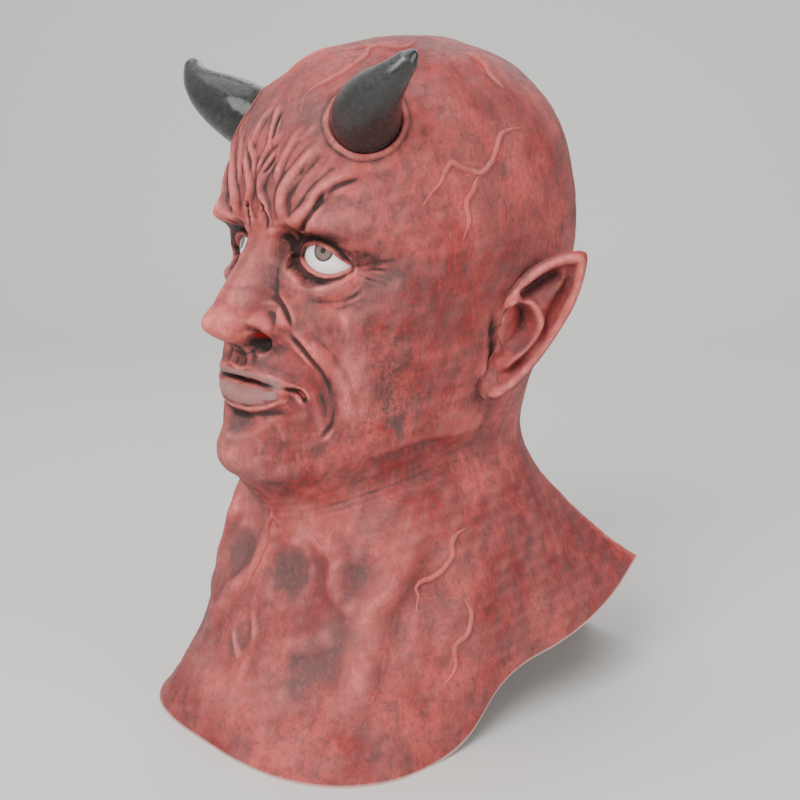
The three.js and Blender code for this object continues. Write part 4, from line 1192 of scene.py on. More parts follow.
@dataclass
class Ears:
    """The long pointed ears, each a closed leaf that leaves the head at a slant."""

    origin: tuple[float, float, float] = (80, 2, 95)
    slant: float = 28.7
    middle: tuple[float, float] = (19, 2)
    outline: Path = ((50.6, 41), (35, 39.5), (19, 31.5), (6, 17), (1.6, 2), (1, -12), (-6, -23), (-8.7, -34),
                     (-2, -40.5), (12.4, -33.2), (29.6, -14.9), (46.5, 12.5), (52.8, 33))
    back: Path = ((0.975, -2.2), (0.93, -3.6), (0.85, -5), (0.7, -7.5), (0.4, -13), (0, -16))
    columns: int = 13 * 12
    rings: int = 44
    helix: Path = ((3, -3), (3.4, 3), (8.5, 15.5), (20.5, 28.5), (34, 35.8), (45.5, 37.3), (49, 32), (43.5, 13.5),
                   (27.2, -12.4), (11.5, -29.8), (0, -37), (-4.5, -33))
    antihelix: Path = ((5, 12.5), (9.4, 14.2), (19.2, 13.6), (24.9, 6.5), (25.8, -1.7), (19.7, -12.4), (10.1, -18.9),
                       (3.9, -26.8))
    second_fork: Path = ((40, 25), (33, 18), (27, 9))
    scapha: Path = ((45.4, 27.4), (37.3, 15.4), (32, 2.7), (25.3, -9.2), (15.6, -19.1), (5, -27.5))
    fossa: Path = ((38, 30), (30, 26), (21, 20.5), (13.5, 17.5))

    def height(self, flat: np.ndarray, spread: np.ndarray) -> np.ndarray:
        """How far the front of the ear stands out of its plane.

        Args:
            flat: Places in the plane (back, up).
            spread: How far from the middle to the outline each is, 0 to 1.

        Returns:
            Heights in millimetres.
        """
        solid = np.column_stack([flat, np.zeros(len(flat))])

        def along(path: Path, width: float, sharp: bool = False) -> np.ndarray:
            """Weight of a ridge or groove in the ear's plane."""
            return Fold([[*p, 0] for p in path], width, 1, sharp, 0.1).weight(solid)

        height = -2.6 + 1.8 * (flat[:, 0] / 40)
        height += 6.6 * along(self.helix, 5.4)
        height += 5.6 * along(self.antihelix, 5.2) + 2.2 * along(self.second_fork, 5)
        height -= 3.2 * along(self.scapha, 4.2) + 5.4 * along(self.fossa, 5)
        cup = np.linalg.norm((flat - [12, 2.5]) / [13, 15], axis=1)
        height -= 9.5 * dome(cup)
        height += 4.2 * dome(np.linalg.norm((flat - [2.2, -11]) / [4.5, 8], axis=1))
        height += 3.4 * dome(np.linalg.norm((flat - [-1, -33]) / [9, 9], axis=1))
        lip = smooth((1 - spread) / 0.05)
        return height * lip + 0.6 * (1 - lip)

    def points(self) -> tuple[np.ndarray, list]:
        """The points and faces of the left ear."""
        outline = curve_points(self.outline, self.columns // len(self.outline), closed=True)
        middle = np.array(self.middle)
        spreads = 1 - (1 - np.linspace(0, 1, self.rings + 1)[1:]) ** 1.25
        places, heights = [middle[None]], [self.height(middle[None], np.zeros(1))]
        for r in spreads:
            flat = middle + r * (outline - middle)
            places.append(flat)
            heights.append(self.height(flat, np.full(len(flat), r)))
        for r, height in self.back:
            flat = middle + r * (outline - middle)
            flat = flat if r else flat[:1]
            places.append(flat)
            heights.append(np.full(len(flat), float(height)))
        slant = math.radians(self.slant)
        flat, height = np.vstack(places), np.concatenate(heights)
        backwards = np.array([math.sin(slant), math.cos(slant), 0])
        away = np.array([math.cos(slant), -math.sin(slant), 0])
        points = np.array(self.origin) + flat[:, :1] * backwards + height[:, None] * away
        points[:, 2] = self.origin[2] + flat[:, 1]
        points[:, 0] -= 0.24 * np.maximum(points[:, 0] - 104, 0)
        size = len(outline)
        ring_count = self.rings + len(self.back) - 1
        grid = 1 + np.arange(ring_count * size).reshape(ring_count, size)
        return points, fan(0, grid[0]) + bands(grid) + fan(len(points) - 1, grid[-1], True)

    def build(self, material: bpy.types.Material) -> bpy.types.Object:
        """Makes both ears as one piece.

        Args:
            material: The skin's finish.

        Returns:
            The piece.
        """
        left, faces = self.points()
        right = left * [-1, 1, 1]
        count = len(left)
        flipped = [tuple(i + count for i in reversed(face)) for face in faces]
        points = np.vstack([left, right])
        piece = make_mesh("ears", points, faces + flipped)
        near = mirrored(points)
        local = near - self.origin
        slant = math.radians(self.slant)
        flat = np.column_stack([local[:, 0] * math.sin(slant) + local[:, 1] * math.cos(slant), local[:, 2]])
        height = local[:, 0] * math.cos(slant) - local[:, 1] * math.sin(slant)
        cup = dome(np.linalg.norm((flat - [12, 7]) / [11, 12], axis=1))
        gully = dome(np.linalg.norm((flat - [26, 25]) / [14, 7], axis=1))
        front = smooth((height + 14) / 4)
        shade_and_tint, marks, extra = (np.zeros((len(points), 3)) for _ in range(3))
        # Painted shade on the ear's back side, in its cup and in its upper hollow
        shade_and_tint[:, 0] = np.clip((smooth((-height - 3.5) / 5) + 0.35 * cup + 0.4 * gully) * front, 0, 1) * 0.9
        shade_and_tint[:, 1] = 0.25
        # Painted highlights on the raised rims of the ear
        marks[:, 1] = smooth((height - 1.2) / 3) * 0.9
        paint_masks(piece, shade_and_tint, marks, extra)
        coat(piece, material)
        finish_piece(piece)
        return piece


# Node trees


class Nodes:
    """A tree of nodes, with short ways to add and join them."""

    def __init__(self, tree: bpy.types.NodeTree) -> None:
        """Works on a tree."""
        self.nodes, self.links = tree.nodes, tree.links

    def add(self, kind: str, **inputs: Any) -> bpy.types.Node:
        """Adds a node. Its settings and inputs are set by name, and an input is linked to a given socket."""
        node = self.nodes.new(kind)
        for name, value in inputs.items():
            if hasattr(node, name) and name not in node.inputs:
                setattr(node, name, value)
            else:
                self.put(node.inputs[name], value)
        return node

    def put(self, socket: Any, value: Any) -> None:
        """Sets a socket to a value or links it to another socket."""
        if isinstance(value, bpy.types.NodeSocket):
            self.links.new(value, socket)
        elif isinstance(value, tuple) and len(value) == 3 and socket.type == "RGBA":
            socket.default_value = (*value, 1.0)
        else:
            socket.default_value = value

    def math(self, operation: str, first: Any, second: Any, clamp: bool = False) -> Any:
        """Joins two values."""
        node = self.add("ShaderNodeMath", operation=operation, use_clamp=clamp)
        self.put(node.inputs[0], first)
        self.put(node.inputs[1], second)
        return node.outputs[0]

    def times(self, first: Any, second: Any) -> Any:
        """Multiplies two values."""
        return self.math("MULTIPLY", first, second)

    def plus(self, first: Any, second: Any, clamp: bool = False) -> Any:
        """Adds two values."""
        return self.math("ADD", first, second, clamp)


class Tree(Nodes):
    """A Geometry Nodes tree with named inputs that ends in one mesh."""

    def __init__(self, name: str, inputs: dict[str, tuple[str, Any]]) -> None:
        """Starts a tree with a geometry input and the named sizes, each with its socket's type and value."""
        self.group = bpy.data.node_groups.new(name, "GeometryNodeTree")
        super().__init__(self.group)
        face = self.group.interface
        face.new_socket("Geometry", in_out="INPUT", socket_type="NodeSocketGeometry")
        self.values = {}
        for label, (kind, value) in inputs.items():
            socket = face.new_socket(label, in_out="INPUT", socket_type=f"NodeSocket{kind}")
            socket.default_value = value
            self.values[socket.identifier] = value
        face.new_socket("Geometry", in_out="OUTPUT", socket_type="NodeSocketGeometry")
        self.given = self.add("NodeGroupInput").outputs

    def mesh(self, name: str, source: bpy.types.Object, shape: Any, material: bpy.types.Material) -> bpy.types.Object:
        """Ends the tree in real geometry, runs it on a source object and keeps the result as a plain mesh.

        Args:
            name: The new object's name.
            source: The object the tree works on, which is removed.
            shape: The socket that gives the finished shape.
            material: The material the shape carries.

        Returns:
            The finished object, at the origin.
        """
        real = self.add("GeometryNodeRealizeInstances", Geometry=shape)
        finished = self.add("GeometryNodeSetMaterial", Geometry=real.outputs[0], Material=material)
        self.put(self.add("NodeGroupOutput").inputs[0], finished.outputs[0])
        modifier = source.modifiers.new(self.group.name, "NODES")
        modifier.node_group = self.group
        for identifier, value in self.values.items():
            modifier[identifier] = value
        graph = bpy.context.evaluated_depsgraph_get()
        mesh = bpy.data.meshes.new_from_object(source.evaluated_get(graph), depsgraph=graph)
        mesh.name = name
        source.modifiers.remove(modifier)
        bpy.data.objects.remove(source)
        return smooth_mesh(name, mesh)


def wire(name: str, lines: Iterable[tuple[np.ndarray, np.ndarray]]) -> bpy.types.Object:
    """Makes an object of open lines, each point with its own thickness.

    Args:
        name: The object's name.
        lines: Pairs of points in the model's frame and thicknesses from 0 to 1.

    Returns:
        The object.
    """
    points, edges, widths = [], [], []
    for places, thickness in lines:
        start = len(points)
        points += places.tolist()
        widths += thickness.tolist()
        edges += [(start + k, start + k + 1) for k in range(len(places) - 1)]
    mesh = bpy.data.meshes.new(name)
    mesh.from_pydata(points, edges, [])
    mesh.attributes.new("thickness", "FLOAT", "POINT").data.foreach_set("value", widths)
    return in_scene(name, mesh)


@dataclass
class Veins:
    """Raised veins that creep over the temple, the crown and the neck."""

    radius: float = 0.0017
    sides: int = 10
    step: float = 1.3
    wander: float = 0.5
    sink: float = 0.15
    thin: float = 0.28
    paths: tuple[Path, ...] = (
        ((79, 20, 203), (80, 8, 201), (82, 2, 197), (83, -1, 191), (84, -6, 185), (84, -14, 180), (82, -24, 183),
         (80, -29, 186), (79, -32, 186), (79, -35, 181), (79, -38, 174), (77, -48, 165)),
        ((84, -15, 179), (84, -19, 172), (84, -23, 167), (85, -24, 161), (85, -23, 155), (85, -26, 146)),
        ((26, -5, 249), (31, -17, 246), (29, -25, 245), (20, -31, 245), (20, -37, 243), (25, -43, 240), (26, -50, 236),
         (25, -59, 231), (22, -66, 227), (18, -74, 222), (18, -78, 218), (20, -83, 212)),
        ((20, -31, 245), (12, -36, 244), (8, -44, 241)),
        ((8, -104, 0), (7.5, -100, -8), (3, -99, -15), (2, -100, -21), (3, -101, -27), (-1, -103, -37), (-5, -105, -48),
         (-9, -107, -56)),
        ((7.5, -100, -8), (10, -100, -11.5), (13.5, -100, -14)),
        ((91, -23, -11), (91, -34, -16), (94, -39, -27), (92, -51, -35), (90, -57, -38), (90, -63, -50)),
        ((100, -33, -49), (102, -30, -58), (102, -34, -68), (101, -43, -74), (102, -45, -86), (101, -52, -93)),
        ((46, 10, 243), (55, 16, 236), (62, 14, 228), (67, 20, 220)),
        ((-80, 14, 203), (-83, 2, 196), (-84, -8, 186), (-83, -20, 183), (-80, -32, 185), (-79, -38, 174),
         (-77, -48, 164)),
        ((-84, -14, 180), (-85, -22, 166), (-86, -24, 150)),
        ((-91, -23, -8), (-88, -36, -16), (-86, -50, -30), (-82, -62, -44)),
        ((-24, 0, 249), (-30, -14, 247), (-25, -28, 245), (-28, -42, 240), (-22, -56, 233), (-19, -68, 226)),
        ((-40, 104, 196), (-34, 108, 180), (-38, 110, 164), (-30, 112, 150), (-33, 111, 136)),
        ((52, 92, 196), (46, 100, 180), (52, 99, 164), (47, 102, 148)),
    )

    def on_skin(self, path: Path, tree: BVHTree) -> np.ndarray:
        """Lays a smooth path on the skin, in the model's frame."""
        points = curve_points(path, 8)
        lengths = np.concatenate([[0], np.cumsum(np.linalg.norm(np.diff(points, axis=0), axis=1))])
        even = np.linspace(0, lengths[-1], max(int(lengths[-1] / self.step), 4))
        points = np.column_stack([np.interp(even, lengths, points[:, k]) for k in range(3)])
        points += self.wander * np.column_stack([ripple(points, 11, seed) for seed in (11, 12, 13)])
        placed = []
        for point in to_row(points):
            spot, normal, _, _ = tree.find_nearest(Vector(point))
            placed.append(np.array(spot) - self.sink * self.radius * np.array(normal))
        return np.array(placed)

    def build(self, skins: Sequence[bpy.types.Object], material: bpy.types.Material) -> bpy.types.Object:
        """Makes the veins as one piece.

        Args:
            skins: The pieces of skin they lie on.
            material: The skin's finish.

        Returns:
            The piece.
        """
        corners, polygons = [], []
        for skin in skins:
            start = len(corners)
            corners += [tuple(v.co) for v in skin.data.vertices]
            polygons += [[start + i for i in p.vertices] for p in skin.data.polygons]
        surface = BVHTree.FromPolygons(corners, polygons)
        lines = []
        for path in self.paths:
            places = self.on_skin(path, surface)
            place = np.linspace(0, 1, len(places))
            ends = smooth(place / 0.2) * smooth((1 - place) / 0.3)
            lines.append((places, self.thin + (1 - self.thin) * ends))
        limit = to_row(np.array(BOX)) + np.array([[1.0], [-1.0]]) * self.radius
        lines = [(np.clip(places, limit[0], limit[1]), width) for places, width in lines]
        tree = Tree("raised_veins", {"Radius": ("Float", self.radius), "Sides": ("Int", self.sides)})
        curve = tree.add("GeometryNodeMeshToCurve", Mesh=tree.given["Geometry"])
        width = tree.add("GeometryNodeInputNamedAttribute", data_type="FLOAT", Name="thickness")
        scaled = tree.times(width.outputs["Attribute"], tree.given["Radius"])
        sized = tree.add("GeometryNodeSetCurveRadius", Curve=curve.outputs["Curve"], Radius=scaled)
        profile = tree.add("GeometryNodeCurvePrimitiveCircle", Resolution=tree.given["Sides"], Radius=1.0)
        tube = tree.add("GeometryNodeCurveToMesh", Curve=sized.outputs["Curve"])
        tree.put(tube.inputs["Profile Curve"], profile.outputs["Curve"])
        tree.put(tube.inputs["Scale"], scaled)
        tree.put(tube.inputs["Fill Caps"], True)
        piece = tree.mesh("veins", wire("vein_lines", lines), tube.outputs["Mesh"], material)
        zeros = np.zeros((len(piece.data.vertices), 3))
        # Painted highlights all along the veins
        paint_masks(piece, zeros, zeros + [0, 0.5, 0], zeros)
        finish_piece(piece)
        return piece


@dataclass
class Horns:
    """The black horns: a bent cone from the forehead, out and then up."""

    path: Path = ((49, -63, 205.5), (64, -76, 218), (87, -82, 223), (98, -72, 240.5))
    radii: tuple[float, ...] = (18.5, 18.1, 16.8, 15.1, 13, 10.6, 8.3, 6)
    rings: int = 96
    sides: int = 72
    lump: float = 0.45
    grain: float = 210.0
    seed: int = 7
    tip_radius: float = 4.4
    tip_share: float = 0.085

    def spine(self, f: np.ndarray) -> tuple[np.ndarray, np.ndarray]:
        """Centres and directions of the horn at parts f of its length."""
        a, b, c, d = np.asarray(self.path, float)
        f = f[:, None]
        along = 3 * ((1 - f) ** 2 * (b - a) + 2 * (1 - f) * f * (c - b) + f * f * (d - c))
        return bezier(a, b, c, d, f), along / np.linalg.norm(along, axis=1, keepdims=True)

    def radius(self, f: np.ndarray) -> np.ndarray:
        """The horn's radius at parts f of its length, with a blunt round tip."""
        body = catmull(np.array([*self.radii, self.tip_radius])[:, None], f * len(self.radii))[:, 0]
        return body * np.sqrt(np.clip((1 - f) / self.tip_share, 0, 1)) ** 0.9

    def stations(self) -> np.ndarray:
        """The rings' places along the horn, closer together at the tip, which is left out."""
        return 1 - (1 - np.linspace(0, 1, self.rings)[:-1]) ** 1.3

    def left(self) -> tuple[np.ndarray, list]:
        """Points and faces of the left horn, before its roughness."""
        f = self.stations()
        centre, along = self.spine(f)
        first = np.cross([0.0, 1.0, 0.0], along)
        first /= np.linalg.norm(first, axis=1, keepdims=True)
        second = np.cross(along, first)
        turn = np.arange(self.sides) * 2 * math.pi / self.sides
        rings = centre[:, None] + self.radius(f)[:, None, None] * (
            np.cos(turn)[None, :, None] * first[:, None] + np.sin(turn)[None, :, None] * second[:, None])
        tip = self.spine(np.array([1.0]))[0]
        points = np.vstack([rings.reshape(-1, 3), centre[:1], tip])
        grid = np.arange(len(f) * self.sides).reshape(len(f), self.sides)
        base, end = len(points) - 2, len(points) - 1
        return points, fan(base, grid[0], True) + bands(grid[::-1]) + fan(end, grid[-1])

    def roughened(self, source: bpy.types.Object, name: str, material: bpy.types.Material) -> bpy.types.Object:
        """Roughens a horn's foot with a Geometry Nodes tree that moves its skin along its normals."""
        tree = Tree("horn_roughness", {"Lump": ("Float", self.lump * MM), "Grain": ("Float", self.grain),
                                       "Seed": ("Float", float(self.seed))})
        place, normal = tree.add("GeometryNodeInputPosition"), tree.add("GeometryNodeInputNormal")
        noise = tree.add("ShaderNodeTexNoise", noise_dimensions="4D", Vector=place.outputs[0], Detail=4.0,
                         Roughness=0.6, Scale=tree.given["Grain"], W=tree.given["Seed"])
        rough = tree.add("GeometryNodeInputNamedAttribute", data_type="FLOAT", Name="rough")
        height = tree.times(tree.math("SUBTRACT", noise.outputs[0], 0.5), tree.given["Lump"])
        height = tree.times(height, rough.outputs["Attribute"])
        offset = tree.add("ShaderNodeVectorMath", operation="SCALE", Vector=normal.outputs[0], Scale=height)
        move = tree.add("GeometryNodeSetPosition", Geometry=tree.given["Geometry"], Offset=offset.outputs[0])
        return tree.mesh(name, source, move.outputs["Geometry"], material)

    def build(self, material: bpy.types.Material) -> list[bpy.types.Object]:
        """Makes both horns.

        Args:
            material: The horns' finish.

        Returns:
            The left and right horns.
        """
        left, faces = self.left()
        f = np.concatenate([np.repeat(self.stations(), self.sides), [0, 1]])
        pieces = []
        for name, sign in (("horn_left", 1), ("horn_right", -1)):
            source = sided(name + "_form", left, faces, sign)
            rough = 0.25 + 1.9 * smooth((0.55 - f) / 0.5)
            source.data.attributes.new("rough", "FLOAT", "POINT").data.foreach_set("value", rough)
            piece = self.roughened(source, name + "_dressed", material)
            finish_piece(piece, [name])
            pieces.append(piece)
        return pieces


@dataclass
class Eyes:
    """The glossy eyes: domes behind the lids, each with a painted iris."""

    opening: EyeOpening
    half: float = 66.0
    gaze: tuple[float, float, float] = (0.37, -0.90, 0.224)
    iris: float = 5.6
    rings: int = 60
    sides: int = 96
    sharp: float = 40.0

    def build(self, material: bpy.types.Material) -> list[bpy.types.Object]:
        """Makes both eyes.

        Args:
            material: The eyes' finish.

        Returns:
            The left and right eyes.
        """
        axis = self.opening.axis
        first = np.array([0.0, 0.0, 1.0])
        second = np.cross(axis, first)
        angles = math.radians(self.half) * np.arange(1, self.rings + 1) / self.rings
        turns = np.arange(self.sides) * 2 * math.pi / self.sides
        rims = np.cos(turns)[:, None] * first + np.sin(turns)[:, None] * second
        domes = np.cos(angles)[:, None, None] * axis + np.sin(angles)[:, None, None] * rims[None]
        radius = self.opening.radius
        flat = self.opening.centre + axis * radius * math.cos(angles[-1])
        points = np.vstack([(self.opening.centre + radius * domes).reshape(-1, 3),
                            self.opening.centre + radius * axis, flat])
        grid = np.arange(self.rings * self.sides).reshape(self.rings, self.sides)
        top, floor = len(points) - 2, len(points) - 1
        faces = fan(top, grid[0]) + bands(grid) + fan(floor, grid[-1], True)
        pieces = []
        for name, sign in (("eye_left", 1), ("eye_right", -1)):
            piece = sided(name + "_dressed", points, faces, sign)
            self.map_iris(piece, points)
            coat(piece, material, self.sharp)
            finish_piece(piece, [name])
            pieces.append(piece)
        return pieces

    def map_iris(self, piece: bpy.types.Object, points: np.ndarray) -> None:
        """Gives an eye a map centred on its iris, in iris radii."""
        gaze = np.array(self.gaze) / np.linalg.norm(self.gaze)
        across = np.cross(gaze, [0.0, 0.0, 1.0])
        across /= np.linalg.norm(across)
        up = np.cross(across, gaze)
        offset = points - self.opening.centre
        flat = np.column_stack([offset @ across, offset @ up]) / self.iris
        flat[(offset @ gaze) < 0] = 9.0
        layer = piece.data.uv_layers.new(name="iris")
        layer.data.foreach_set("uv", (flat[corners_of(piece)] * 0.05 + 0.5).ravel())


# Finishes


class Paint(Nodes):
    """A material's node tree."""

    def __init__(self, name: str) -> None:
        """Starts a plain material."""
        self.material = bpy.data.materials.new(name)
        self.material.use_nodes = True
        super().__init__(self.material.node_tree)

    def shade(self, **inputs: Any) -> bpy.types.Material:
        """Sets the shader's inputs, with _ for a space in their names, and gives the material."""
        for name, value in inputs.items():
            self.put(self.nodes["Principled BSDF"].inputs[name.replace("_", " ")], value)
        return self.material

    def place(self, stretch: tuple[float, float, float] = (1, 1, 1)) -> Any:
        """Object coordinates, stretched."""
        source = self.add("ShaderNodeTexCoord").outputs["Object"]
        if stretch == (1, 1, 1):
            return source
        return self.add("ShaderNodeMapping", Vector=source, Scale=stretch).outputs[0]

    def noise(self, where: Any, scale: float, detail: float = 4.0, roughness: float = 0.6, warp: float = 0.0) -> Any:
        """A noise field between 0 and 1."""
        sizes = {"Scale": scale, "Detail": detail, "Roughness": roughness, "Distortion": warp}
        return self.add("ShaderNodeTexNoise", Vector=where, **sizes).outputs["Fac"]

    def ramp(self, value: Any, low: float, high: float, to_low: float = 0.0, to_high: float = 1.0) -> Any:
        """Stretches a value's range between two levels and clamps it."""
        levels = {"From Min": low, "From Max": high, "To Min": to_low, "To Max": to_high}
        return self.add("ShaderNodeMapRange", interpolation_type="SMOOTHSTEP", Value=value, **levels).outputs[0]

    def mix(self, amount: Any, first: Any, second: Any) -> Any:
        """Mixes two colours."""
        node = self.add("ShaderNodeMix", data_type="RGBA")
        self.put(node.inputs[0], amount)
        self.put(node.inputs[6], first)
        self.put(node.inputs[7], second)
        return node.outputs[2]

    def channels(self, name: str) -> tuple[Any, Any, Any]:
        """The three numbers of a painted attribute."""
        attribute = self.add("ShaderNodeAttribute", attribute_name=name)
        parts = self.add("ShaderNodeSeparateColor", Color=attribute.outputs["Color"])
        return tuple(parts.outputs)

    def bump(self, height: Any, distance: float, strength: float, below: Any = None) -> Any:
        """Adds relief to the shading."""
        node = self.add("ShaderNodeBump", Height=height, Distance=distance, Strength=strength)
        if below is not None:
            self.put(node.inputs["Normal"], below)
        return node.outputs[0]


@dataclass(frozen=True)
class SkinFinish:
    """Latex painted in mottled reds, with painted shade in the creases and hollows and painted highlights on the
    crests.
    """

    base: Rgb = (0.215, 0.017, 0.018)
    pink: Rgb = (0.54, 0.090, 0.082)
    # The pale speckle's colour, which the painted highlights take too
    pale: Rgb = (0.82, 0.205, 0.185)
    strong: Rgb = (0.25, 0.010, 0.010)
    grey: Rgb = (0.160, 0.066, 0.064)
    ash: Rgb = (0.085, 0.050, 0.047)
    lip: Rgb = (0.31, 0.175, 0.168)
    # The painted shade's colour
    dark: Rgb = (0.016, 0.008, 0.008)
    nostril: Rgb = (0.24, 0.002, 0.002)
    edge: Rgb = (0.62, 0.45, 0.40)

    def build(self) -> bpy.types.Material:
        """Makes the material."""
        p = Paint("painted_latex")
        where = p.place()
        dark, grey, blush = p.channels("shade_and_tint")
        lips, crest, hollow = p.channels("marks")
        inner, rim, rough = p.channels("extra")
        clouds = p.ramp(p.noise(where, 18, 6, 0.6), 0.36, 0.62)
        blotches = p.noise(where, 60, 8, 0.68)
        specks = p.noise(where, 380, 7, 0.74)
        smears = p.noise(p.place((1.0, 1.0, 0.45)), 110, 9, 0.76, 0.8)
        veil = p.times(p.ramp(p.noise(where, 33, 9, 0.72), 0.4, 0.68), 0.7)
        # Grey tint where the grey mask lies, broken into blotches
        grey_tint = p.times(grey, p.ramp(blotches, 0.3, 0.62, 0.55, 1.0))
        # Painted shade in the hollows, broken up by the smears
        hollow_shade = p.times(hollow, p.ramp(smears, 0.3, 0.62, 1.0, 0.75))
        # Painted shade in the creases and shaded places, with the hollows' shade added
        painted_shade = p.times(dark, p.ramp(specks, 0.3, 0.62, 0.6, 1.0))
        painted_shade = p.plus(painted_shade, p.times(p.ramp(hollow_shade, 0.3, 0.9), 0.72), True)
        # Coats from the first to the last, each with how thick it lies: mottled paint, painted highlights, lips,
        # painted shade, nostrils and cut edge
        coats = (
            (clouds, self.pink),
            (p.times(p.ramp(blotches, 0.42, 0.62), p.plus(0.35, p.times(blush, 0.75))), self.strong),
            (p.ramp(smears, 0.5, 0.7, 0.0, 0.5), self.pink),
            (p.plus(veil, p.times(grey_tint, 0.8), True), self.grey),
            (p.times(p.ramp(smears, 0.52, 0.36), p.plus(0.6, p.times(rough, 0.3))), self.ash),
            (p.times(p.ramp(specks, 0.51, 0.62), p.plus(0.46, p.times(rough, 0.35))), self.ash),
            (p.times(p.ramp(specks, 0.47, 0.3), 0.16), self.pale),
            # Painted highlights on the crests
            (p.times(crest, p.ramp(smears, 0.36, 0.6, 0.95, 0.35)), self.pale),
            (p.times(lips, p.ramp(smears, 0.36, 0.6, 0.95, 0.6)), self.lip),
            # Painted shade in the hollows
            (p.times(hollow_shade, 0.85), self.ash),
            # Painted shade in the creases, the sockets and the other shaded places
            (p.times(painted_shade, 0.93), self.dark),
            (inner, self.nostril),
            (rim, self.edge),
        )
        colour: Any = self.base
        for thickness, shade in coats:
            colour = p.mix(thickness, colour, shade)
        creased = p.bump(smears, 0.004, 0.5)
        pores = p.bump(p.noise(where, 700, 4, 0.6), 0.0006, 0.5, creased)
        leather = p.add("ShaderNodeTexVoronoi", Vector=where, Scale=330.0)
        grain = p.bump(leather.outputs["Distance"], 0.0008, 0.16, pores)
        streaks = p.noise(p.place((1.0, 1.0, 0.32)), 330, 5, 0.68, 0.5)
        rugged = p.bump(p.times(streaks, p.plus(0.25, rough)), 0.0022, 0.75, grain)
        lines = p.noise(p.place((1.0, 1.0, 0.06)), 620, 2, 0.5)
        return p.shade(Base_Color=colour, Roughness=p.ramp(specks, 0.3, 0.7, 0.46, 0.62), Specular_IOR_Level=0.3,
                       Normal=p.bump(p.times(lines, lips), 0.0012, 0.8, rugged))


@dataclass(frozen=True)
class HornFinish:
    """Black resin, pitted at the foot and glossier at the tip."""

    black: Rgb = (0.009, 0.010, 0.010)
    dusty: Rgb = (0.038, 0.042, 0.040)
    foot: tuple[float, float, float] = (0.049, -0.0647, 0.3385)

    def build(self) -> bpy.types.Material:
        """Makes the material."""
        p = Paint("black_resin")
        where = p.place()
        apart = p.add("ShaderNodeSeparateXYZ", Vector=where)
        side = p.math("ABSOLUTE", apart.outputs[0], 0.0)
        even = p.add("ShaderNodeCombineXYZ", X=side, Y=apart.outputs[1], Z=apart.outputs[2])
        away = p.add("ShaderNodeVectorMath", operation="DISTANCE")
        p.put(away.inputs[0], even.outputs[0])
        p.put(away.inputs[1], self.foot)
        tip = p.ramp(away.outputs["Value"], 0.02, 0.062)
        scratches = p.noise(p.place((1.0, 1.0, 0.4)), 420, 6, 0.7, 0.5)
        pits = p.noise(where, 260, 6, 0.72, 0.4)
        dust = p.times(p.ramp(scratches, 0.52, 0.7), p.ramp(tip, 0.0, 1.0, 0.9, 0.25))
        matt = p.math("SUBTRACT", p.ramp(pits, 0.3, 0.7, 0.17, 0.42), p.times(tip, 0.08))
        low = p.bump(p.times(pits, p.ramp(tip, 0.0, 1.0, 1.0, 0.16)), 0.0034, 0.9)
        fine = p.times(scratches, p.ramp(tip, 0.0, 1.0, 1.0, 0.2))
        return p.shade(Base_Color=p.mix(dust, self.black, self.dusty), Roughness=matt, Coat_Weight=0.5,
                       Coat_Roughness=0.2, Normal=p.bump(fine, 0.0012, 0.7, low))


@dataclass(frozen=True)
class EyeFinish:
    """Glossy white with a grey-brown iris under a clear coat."""

    white: Rgb = (0.95, 0.94, 0.92)
    tinge: Rgb = (0.75, 0.42, 0.36)
    iris_inner: Rgb = (0.26, 0.17, 0.15)
    iris_outer: Rgb = (0.15, 0.095, 0.088)
    ring: Rgb = (0.02, 0.014, 0.014)
    pupil: Rgb = (0.03, 0.022, 0.02)

    def build(self) -> bpy.types.Material:
        """Makes the material."""
        p = Paint("glossy_eye")
        uv = p.add("ShaderNodeUVMap", uv_map="iris").outputs[0]
        centred = p.add("ShaderNodeMapping", Vector=uv, Location=(-10.0, -10.0, 0.0), Scale=(20.0, 20.0, 20.0))
        centred = centred.outputs[0]
        away = p.add("ShaderNodeVectorMath", operation="LENGTH", Vector=centred).outputs["Value"]
        ray = p.add("ShaderNodeVectorMath", operation="NORMALIZE", Vector=centred).outputs[0]
        blood = p.noise(p.place(), 160, 4, 0.7, 1.5)
        tinged = p.times(p.ramp(away, 1.6, 3.4), p.ramp(blood, 0.45, 0.75, 0.0, 0.4))
        white = p.mix(tinged, self.white, self.tinge)
        iris = p.mix(p.ramp(p.noise(ray, 9, 3, 0.7), 0.3, 0.7), self.iris_inner, self.iris_outer)
        colour = p.mix(p.ramp(away, 0.96, 1.06), iris, white)
        rim = p.times(p.ramp(away, 0.8, 0.92), p.ramp(away, 1.1, 1.0))
        colour = p.mix(p.times(rim, 0.9), colour, self.ring)
        colour = p.mix(p.ramp(away, 0.34, 0.24), colour, self.pupil)
        return p.shade(Base_Color=colour, Roughness=0.12, Coat_Weight=1.0, Coat_Roughness=0.03)


# The studio


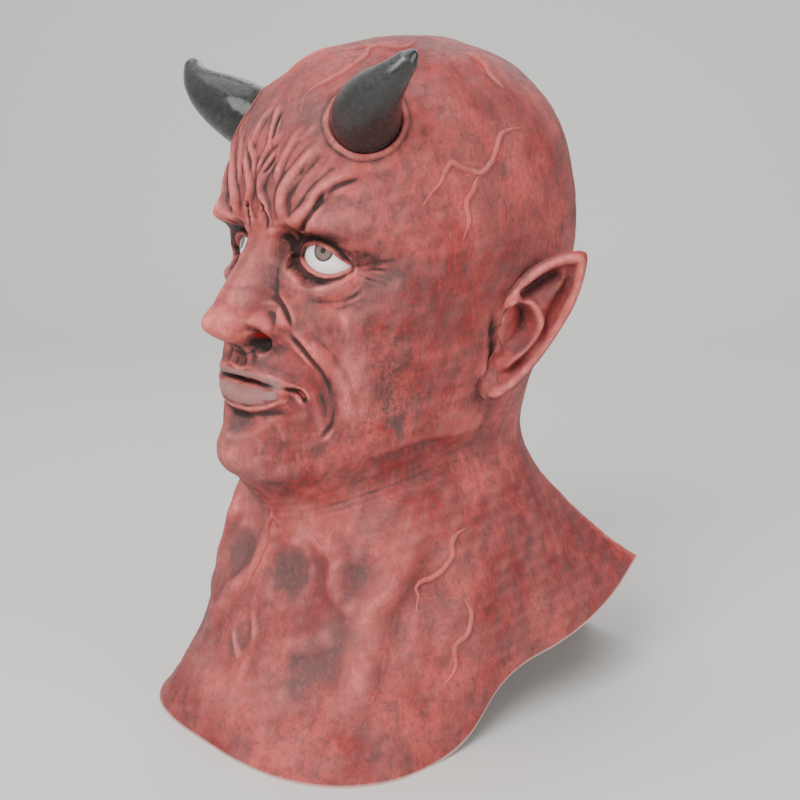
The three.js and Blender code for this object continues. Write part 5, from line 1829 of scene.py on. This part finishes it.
@dataclass
class Studio:
    """A pale floor, soft light and the camera at the photograph's angle."""

    azimuth: float = 48.8
    elevation: float = 13.2
    distance: float = 0.784
    lens: float = 58.5
    aim: tuple[float, float] = (0.0025, 0.0406)

    def build(self) -> None:
        """Makes the floor, the lights and the camera."""
        self.floor()
        self.lamp("window", (0.55, -1.5, 1.35), 1.3, 49, (1.0, 0.99, 0.97))
        self.lamp("overhead", (-0.4, -0.3, 1.9), 1.6, 20, (0.97, 0.99, 1.0))
        self.lamp("fill", (1.7, 0.5, 0.9), 1.2, 17, (1.0, 0.98, 0.96))
        self.lamp("behind", (-0.9, 1.3, 1.1), 1.4, 10, (0.98, 0.99, 1.0))
        self.sky()
        self.camera()

    def floor(self) -> None:
        """A plain pale floor that curves up behind."""
        back, bend = 1.1, 0.6
        profile = [(-3.0, 0.0), (back, 0.0)]
        profile += [(back + bend * math.sin(a), bend * (1 - math.cos(a))) for a in np.linspace(0.1, math.pi / 2, 12)]
        profile.append((back + bend, 3.0))
        turn = math.radians(self.azimuth)
        away = np.array([-math.sin(turn), math.cos(turn)])
        side = np.array([math.cos(turn), math.sin(turn)])
        points = [[*(away * depth + side * across), height] for depth, height in profile for across in (-4.0, 4.0)]
        faces = [(k, k + 1, k + 3, k + 2) for k in range(0, 2 * len(profile) - 2, 2)]
        ground = make_mesh("floor", np.array(points), faces, in_row=True)
        coat(ground, Paint("pale_floor").shade(Base_Color=(0.62, 0.61, 0.59), Roughness=0.7))

    def lamp(self, name: str, place: tuple[float, float, float], size: float, power: float, colour: Rgb) -> None:
        """A soft area light that faces the mask."""
        light = bpy.data.lights.new(name, "AREA")
        light.shape = "DISK"
        light.size = size
        light.energy = power
        light.color = colour
        holder = in_scene(name, light)
        holder.location = place
        aim = Vector((0.0, 0.0, 0.2)) - Vector(place)
        holder.rotation_euler = aim.to_track_quat("-Z", "Y").to_euler()

    def sky(self) -> None:
        """Even soft light from all round."""
        world = bpy.data.worlds.new("studio")
        world.use_nodes = True
        sky = world.node_tree.nodes["Background"].inputs
        sky["Color"].default_value = (0.9, 0.93, 0.95, 1.0)
        sky["Strength"].default_value = 0.4
        bpy.context.scene.world = world

    def camera(self) -> None:
        """The camera that sees the mask as the photograph does."""
        turn, rise = math.radians(self.azimuth), math.radians(self.elevation)
        back = Vector((math.sin(turn) * math.cos(rise), -math.cos(turn) * math.cos(rise), math.sin(rise)))
        right = Vector((math.cos(turn), math.sin(turn), 0.0))
        target = right * self.aim[0] + Vector((0, DEPTH_SHIFT * MM, self.aim[1] + CHIN_HEIGHT * MM))
        data = bpy.data.cameras.new("camera")
        data.lens = self.lens
        data.sensor_width = 36.0
        data.clip_start = 0.02
        camera = in_scene("camera", data)
        camera.location = target + back * self.distance
        camera.rotation_euler = (-back).to_track_quat("-Z", "Y").to_euler()
        bpy.context.scene.camera = camera


def main() -> None:
    """Builds the mask piece by piece."""
    logging.basicConfig(level=logging.INFO, format="%(name)s: %(message)s")
    Studio().build()
    skin_finish = SkinFinish().build()
    carver = Carver(HeadForm())
    window = FaceWindow()
    skin = Skin(carver, window).build(skin_finish)
    face = Face(carver, window)
    left = face.build("face_left", 1, skin_finish)
    right = face.build("face_right", -1, skin_finish)
    Ears().build(skin_finish)
    Veins().build([skin, left, right], skin_finish)
    Horns().build(HornFinish().build())
    Eyes(carver.eye).build(EyeFinish().build())


if __name__ == "__main__":
    main()
